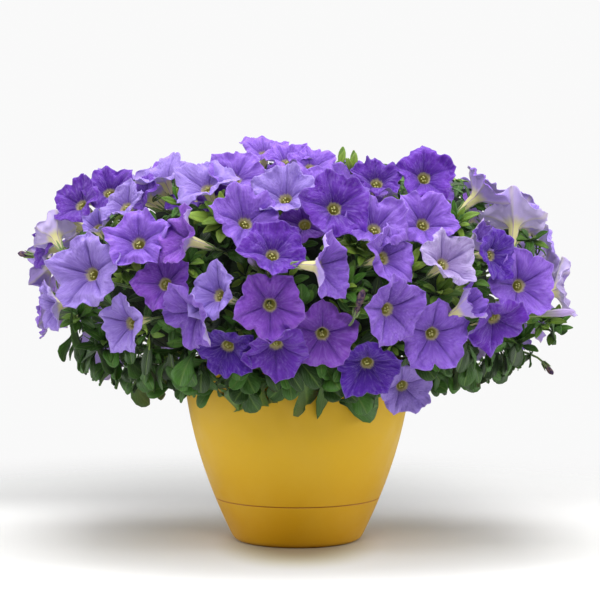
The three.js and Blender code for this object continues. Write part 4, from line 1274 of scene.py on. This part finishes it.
oneHair = hairTemplate()


def growHairs(bundle, path, radii, count, number):
    # short hairs that stand out all along a stalk, a calyx or a tube
    last = len(path) - 1
    for h in range(count):
        row = last * (h + chance(number, h)) / count
        i = min(last - 1, int(row))
        t = row - i
        ahead = (path[i + 1] - path[i]).normalized()
        side = ahead.orthogonal().normalized()
        out = aside(side, ahead.cross(side), 2.4 * h + number)
        root = path[i].lerp(path[i + 1], t) + out * (0.92 * (radii[i] * (1 - t) + radii[i + 1] * t))
        length = within(hairForm["length"], chance(h, number + 3))
        way = (out + ahead * swing(h, number, 0.35)).normalized()
        first = way.orthogonal().normalized() * hairForm["root"]
        second = way.cross(first)
        corners, _ = copyIn(bundle["bm"], oneHair)
        for corner in corners:
            x, y, z = corner.co
            corner.co = (root + first * x + second * y + way * (z * length)) * mm


def curvePath(start, way, end, reach, count):
    knee = start + way * reach
    return [start * (1 - t) ** 2 + knee * (2 * t * (1 - t)) + end * t ** 2
            for t in (i / (count - 1) for i in range(count))]


def coreTarget(start):
    # the place inside the plant that a stalk comes from
    height = dome["widest"] + (start.z - dome["widest"]) * 0.5 - 12
    return Vector((start.x * 0.52, start.y * 0.52, height))


def growStalk(start, facing, thick=1.3):
    form = stalkForm
    bundle = stalks[fanOf(start)]
    path = curvePath(start, -facing, coreTarget(start), form["reach"], form["rows"])
    radii = [thick * (form["narrow"] + form["widen"] * i) for i in range(form["rows"])]
    sweepInto(bundle, path, radii)
    growHairs(bundle, path[:form["hairyRows"]], radii, hairForm["onStalk"], round(start.x))
    return bundle


def growCalyx(bundle, start, facing, size=1.0):
    right, over, _ = axesOf(facing)
    cup = [start - facing * 3.4 * size, start - facing * 1.5 * size, start + facing * 0.6,
           start + facing * 1.6]
    cupRadii = [1.0 * size, 2.5 * size, 2.7 * size, 1.9 * size]
    sweepInto(bundle, cup, cupRadii)
    growHairs(bundle, cup, cupRadii, hairForm["onCalyx"], round(start.z))
    for k in range(5):
        around = aside(right, over, 2 * math.pi * k / 5 + start.x)
        root = start + around * (2.2 * size) - facing * 0.5
        middle = start + facing * (5 * size) + around * (3.0 * size)
        tip = start + facing * (10.5 * size) + around * (4.6 * size)
        sweepInto(bundle, [root, middle, tip], [1.0 * size, 1.25 * size, 0.25])


def growFlowerStalks():
    shares, radii = zip(*bloomForm["tube"])
    for plan in plans:
        at, facing = plan["at"], plan["facing"]
        depth = tubeShare * plan["radius"]
        end = at - facing * depth
        bundle = growStalk(end - facing * 3, facing)
        growCalyx(bundle, end, facing)
        path = [at - facing * (depth * share) for share in shares]
        growHairs(bundle, path, radii, hairForm["onTube"], plan["id"])


# Buds and spent blooms: across, up, length, turn, tip, kind
budRows = [
    (-283, 304, 16, -80, 10, "spent"), (264, 189, 18, 40, -40, "spent"), (248, 241, 46, 84, 4, "bud"),
    (62, 240, 34, 20, 50, "spent"), (-42, 290, 18, -40, 40, "bud"),
]


budForm = [(0.0, 0.5), (0.15, 0.62), (0.4, 0.7), (0.62, 0.95), (0.78, 1.0), (0.9, 0.7), (1.0, 0.1)]
trunkForm = [(60, 141, 4.4), (62, 180, 4.0), (74, 214, 3.4), (120, 236, 2.4)]  # out, up and radius


def growBuds():
    for across, height, length, turn, tip, kind in budRows:
        end = seenOnDome(across, height, 18)
        facing = facingOf(turn, tip)
        bundle = growStalk(end - facing * 2, facing)
        growCalyx(bundle, end, facing, 0.9)
        fat = min(4.2, 2.4 + length * 0.05)
        path = [end + facing * (share * length) for share, _ in budForm]
        sweepInto(bundle, path, [fat * wide for _, wide in budForm], 1 if kind == "bud" else 2, 0.12)


def growTrunks():
    for k, bundle in enumerate(stalks):
        out = Vector((math.cos(stemTurn(k)), math.sin(stemTurn(k)), 0))
        path = [out * distance + Vector((0, 0, height)) for distance, height, _ in trunkForm]
        sweepInto(bundle, path, [radius for _, _, radius in trunkForm])


heartForm = {"scale": 0.7, "lowest": 214, "slope": 6, "lump": 5, "lumpScale": 0.03}


def growHearts():
    # the dense inside of each plant: dark, lumpy, and deep behind the leaves; its almost black colour is
    # painted shade where only shade shows
    form = heartForm
    middle = Vector((0, 0, dome["widest"]))
    for k, name in enumerate(leafyNodes):
        heart = bmesh.new()
        bmesh.ops.create_uvsphere(heart, u_segments=28, v_segments=18, radius=1)
        for corner in heart.verts:
            way = corner.co.normalized()
            place = domePoint(way, form["scale"])
            place.z = max(place.z, form["lowest"] + form["slope"] * way.x)
            corner.co = place
        for sign in (1, -1):
            cut = stemTurn(k) - sign * math.pi / 8
            normal = Vector((-math.sin(cut), math.cos(cut), 0)) * sign
            geometry = heart.verts[:] + heart.edges[:] + heart.faces[:]
            bmesh.ops.bisect_plane(heart, geom=geometry, plane_co=(0, 0, 0), plane_no=normal,
                                   clear_inner=True)
            bmesh.ops.holes_fill(heart, edges=[edge for edge in heart.edges if edge.is_boundary])
        for corner in heart.verts:
            lump = noise.fractal(corner.co * form["lumpScale"], 1.0, 2.0, 3)
            corner.co += (corner.co - middle).normalized() * form["lump"] * lump
            corner.co *= mm
        finishPiece("leafy_heart_%02d" % (k + 1), heart, ("heart",), [name])


growFlowerStalks()
growBuds()
growTrunks()
growHearts()
for k, (fan, bundle) in enumerate(zip(fans, stalks)):
    finishPiece("leaves_%02d" % (k + 1), fan["bm"], ("leaf", "under"), [leafyNodes[k]],
                leafForm["thick"])
    finishPiece("stalks_%02d" % (k + 1), bundle["bm"], ("stem", "bud", "spent"), [leafyNodes[k]])
stage("stalks, buds and hearts made")

# Studio

# the floor's painted shadow and light: a contact shadow round the foot, a shadow band behind, a painted warm
# bounce near the foot, and a lighter front
studio = {"paper": 0.76, "contactShadow": 0.54, "near": (0.16, 0.04), "bounceBlueCut": 0.46, "bounceGreenCut": 0.065, "oval": 1.7,
          "shadowBand": 0.35, "rightShadowBand": 0.5, "fade": (0.82, 0.36), "across": 1.8, "white": 0.95,
          "ambient": 0.34}


def paperPaintedShadow():
    # painted shadow: darker close to the foot and behind it, with a painted warm bounce from the pot near
    # the foot; painted light makes it white towards the front; and it fades out further off
    made, tree, shader = newMaterial("paperPaintedShadow")
    look = studio
    x, y, _ = ownPlace(tree)

    def less(value, part):
        return sums(tree, "SUBTRACT", value, part)

    def distance(across, along):
        squares = [sums(tree, "POWER", sums(tree, "ABSOLUTE", side), 2.0) for side in (across, along)]
        return sums(tree, "SQRT", plus(tree, *squares))

    # painted contact shadow round the foot, reaching further in front than behind or at the sides
    near = span(tree, distance(times(tree, x, look["oval"]), plus(tree, y, 0.04)), *look["near"])
    # painted shadow: a grey band behind the pot, weaker on the right
    shadowBand = times(tree, span(tree, y, 0.12, 0.33), span(tree, x, 0.3, 0.02, look["rightShadowBand"], 1.0))
    shade = less(1.0, times(tree, near, look["contactShadow"]))
    # painted light: the floor lighter towards the front
    shade = times(tree, shade, span(tree, y, -0.1, -0.28, 1.0, 1.25))
    shade = times(tree, shade, less(1.0, times(tree, shadowBand, look["shadowBand"])))
    shade = times(tree, shade, look["paper"])
    tone = addNode(tree, "CombineColor")
    join(tree, shade, tone.inputs["Red"])
    # painted warm bounce from the pot: less green and blue near the foot
    join(tree, less(shade, times(tree, near, look["bounceGreenCut"])), tone.inputs["Green"])
    join(tree, times(tree, shade, less(0.99, times(tree, near, look["bounceBlueCut"]))), tone.inputs["Blue"])
    coat(tree, shader, tone.outputs["Color"], 0.9, specular=0.1)
    join(tree, span(tree, distance(x, y), *look["fade"]), shader.inputs["Alpha"])
    return made


def makeFloor():
    bm = bmesh.new()
    bmesh.ops.create_grid(bm, x_segments=2, y_segments=2, size=studio["across"] / 2)
    floor = addObject("floor", meshOf(bm, "floor"))
    floor.data.materials.append(paperPaintedShadow())


lamps = [
    # name, place, aimed at, size, watts
    ("keyLamp", (0.05, -1.6, 1.8), (0, 0, 0.28), 1.4, 35),
    ("leftLamp", (-1.8, -0.1, 0.5), (0, 0, 0.22), 1.0, 14),
    ("rightLamp", (1.8, -0.1, 0.5), (0, 0, 0.22), 1.0, 15),
    ("topLamp", (0.0, 0.1, 2.0), (0, 0, 0.3), 1.5, 39),
]


def makeLights():
    for name, place, target, size, watts in lamps:
        data = bpy.data.lights.new(name, "AREA")
        data.size = size
        data.energy = watts
        lamp = addObject(name, data)
        lamp.location = place
        lamp.rotation_euler = (Vector(target) - Vector(place)).to_track_quat("-Z", "Y").to_euler()


def makeWorld():
    # white to the camera, and dimmer as a light
    world = bpy.data.worlds.new("studioWorld")
    world.use_nodes = True
    tree = world.node_tree
    background = tree.nodes["Background"]
    background.inputs["Color"].default_value = (1, 1, 1, 1)
    strength = addNode(tree, "MapRange")
    strength.inputs["To Min"].default_value = studio["ambient"]
    strength.inputs["To Max"].default_value = studio["white"]
    join(tree, addNode(tree, "LightPath").outputs["Is Camera Ray"], strength.inputs["Value"])
    join(tree, strength.outputs["Result"], background.inputs["Strength"])
    scene.world = world
    scene.view_settings.view_transform = "Standard"


view = {"place": (0.0027, -2.1, 0.352), "down": 2.6, "lens": 117.76, "sensor": 36}


def makeCamera():
    data = bpy.data.cameras.new("viewCamera")
    data.lens = view["lens"]
    data.sensor_width = view["sensor"]
    camera = addObject("viewCamera", data)
    camera.location = view["place"]
    camera.rotation_euler = (math.radians(90 - view["down"]), 0, 0)
    scene.camera = camera


makeFloor()
makeLights()
makeWorld()
makeCamera()
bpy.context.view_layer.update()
stage("studio made, sizes written")
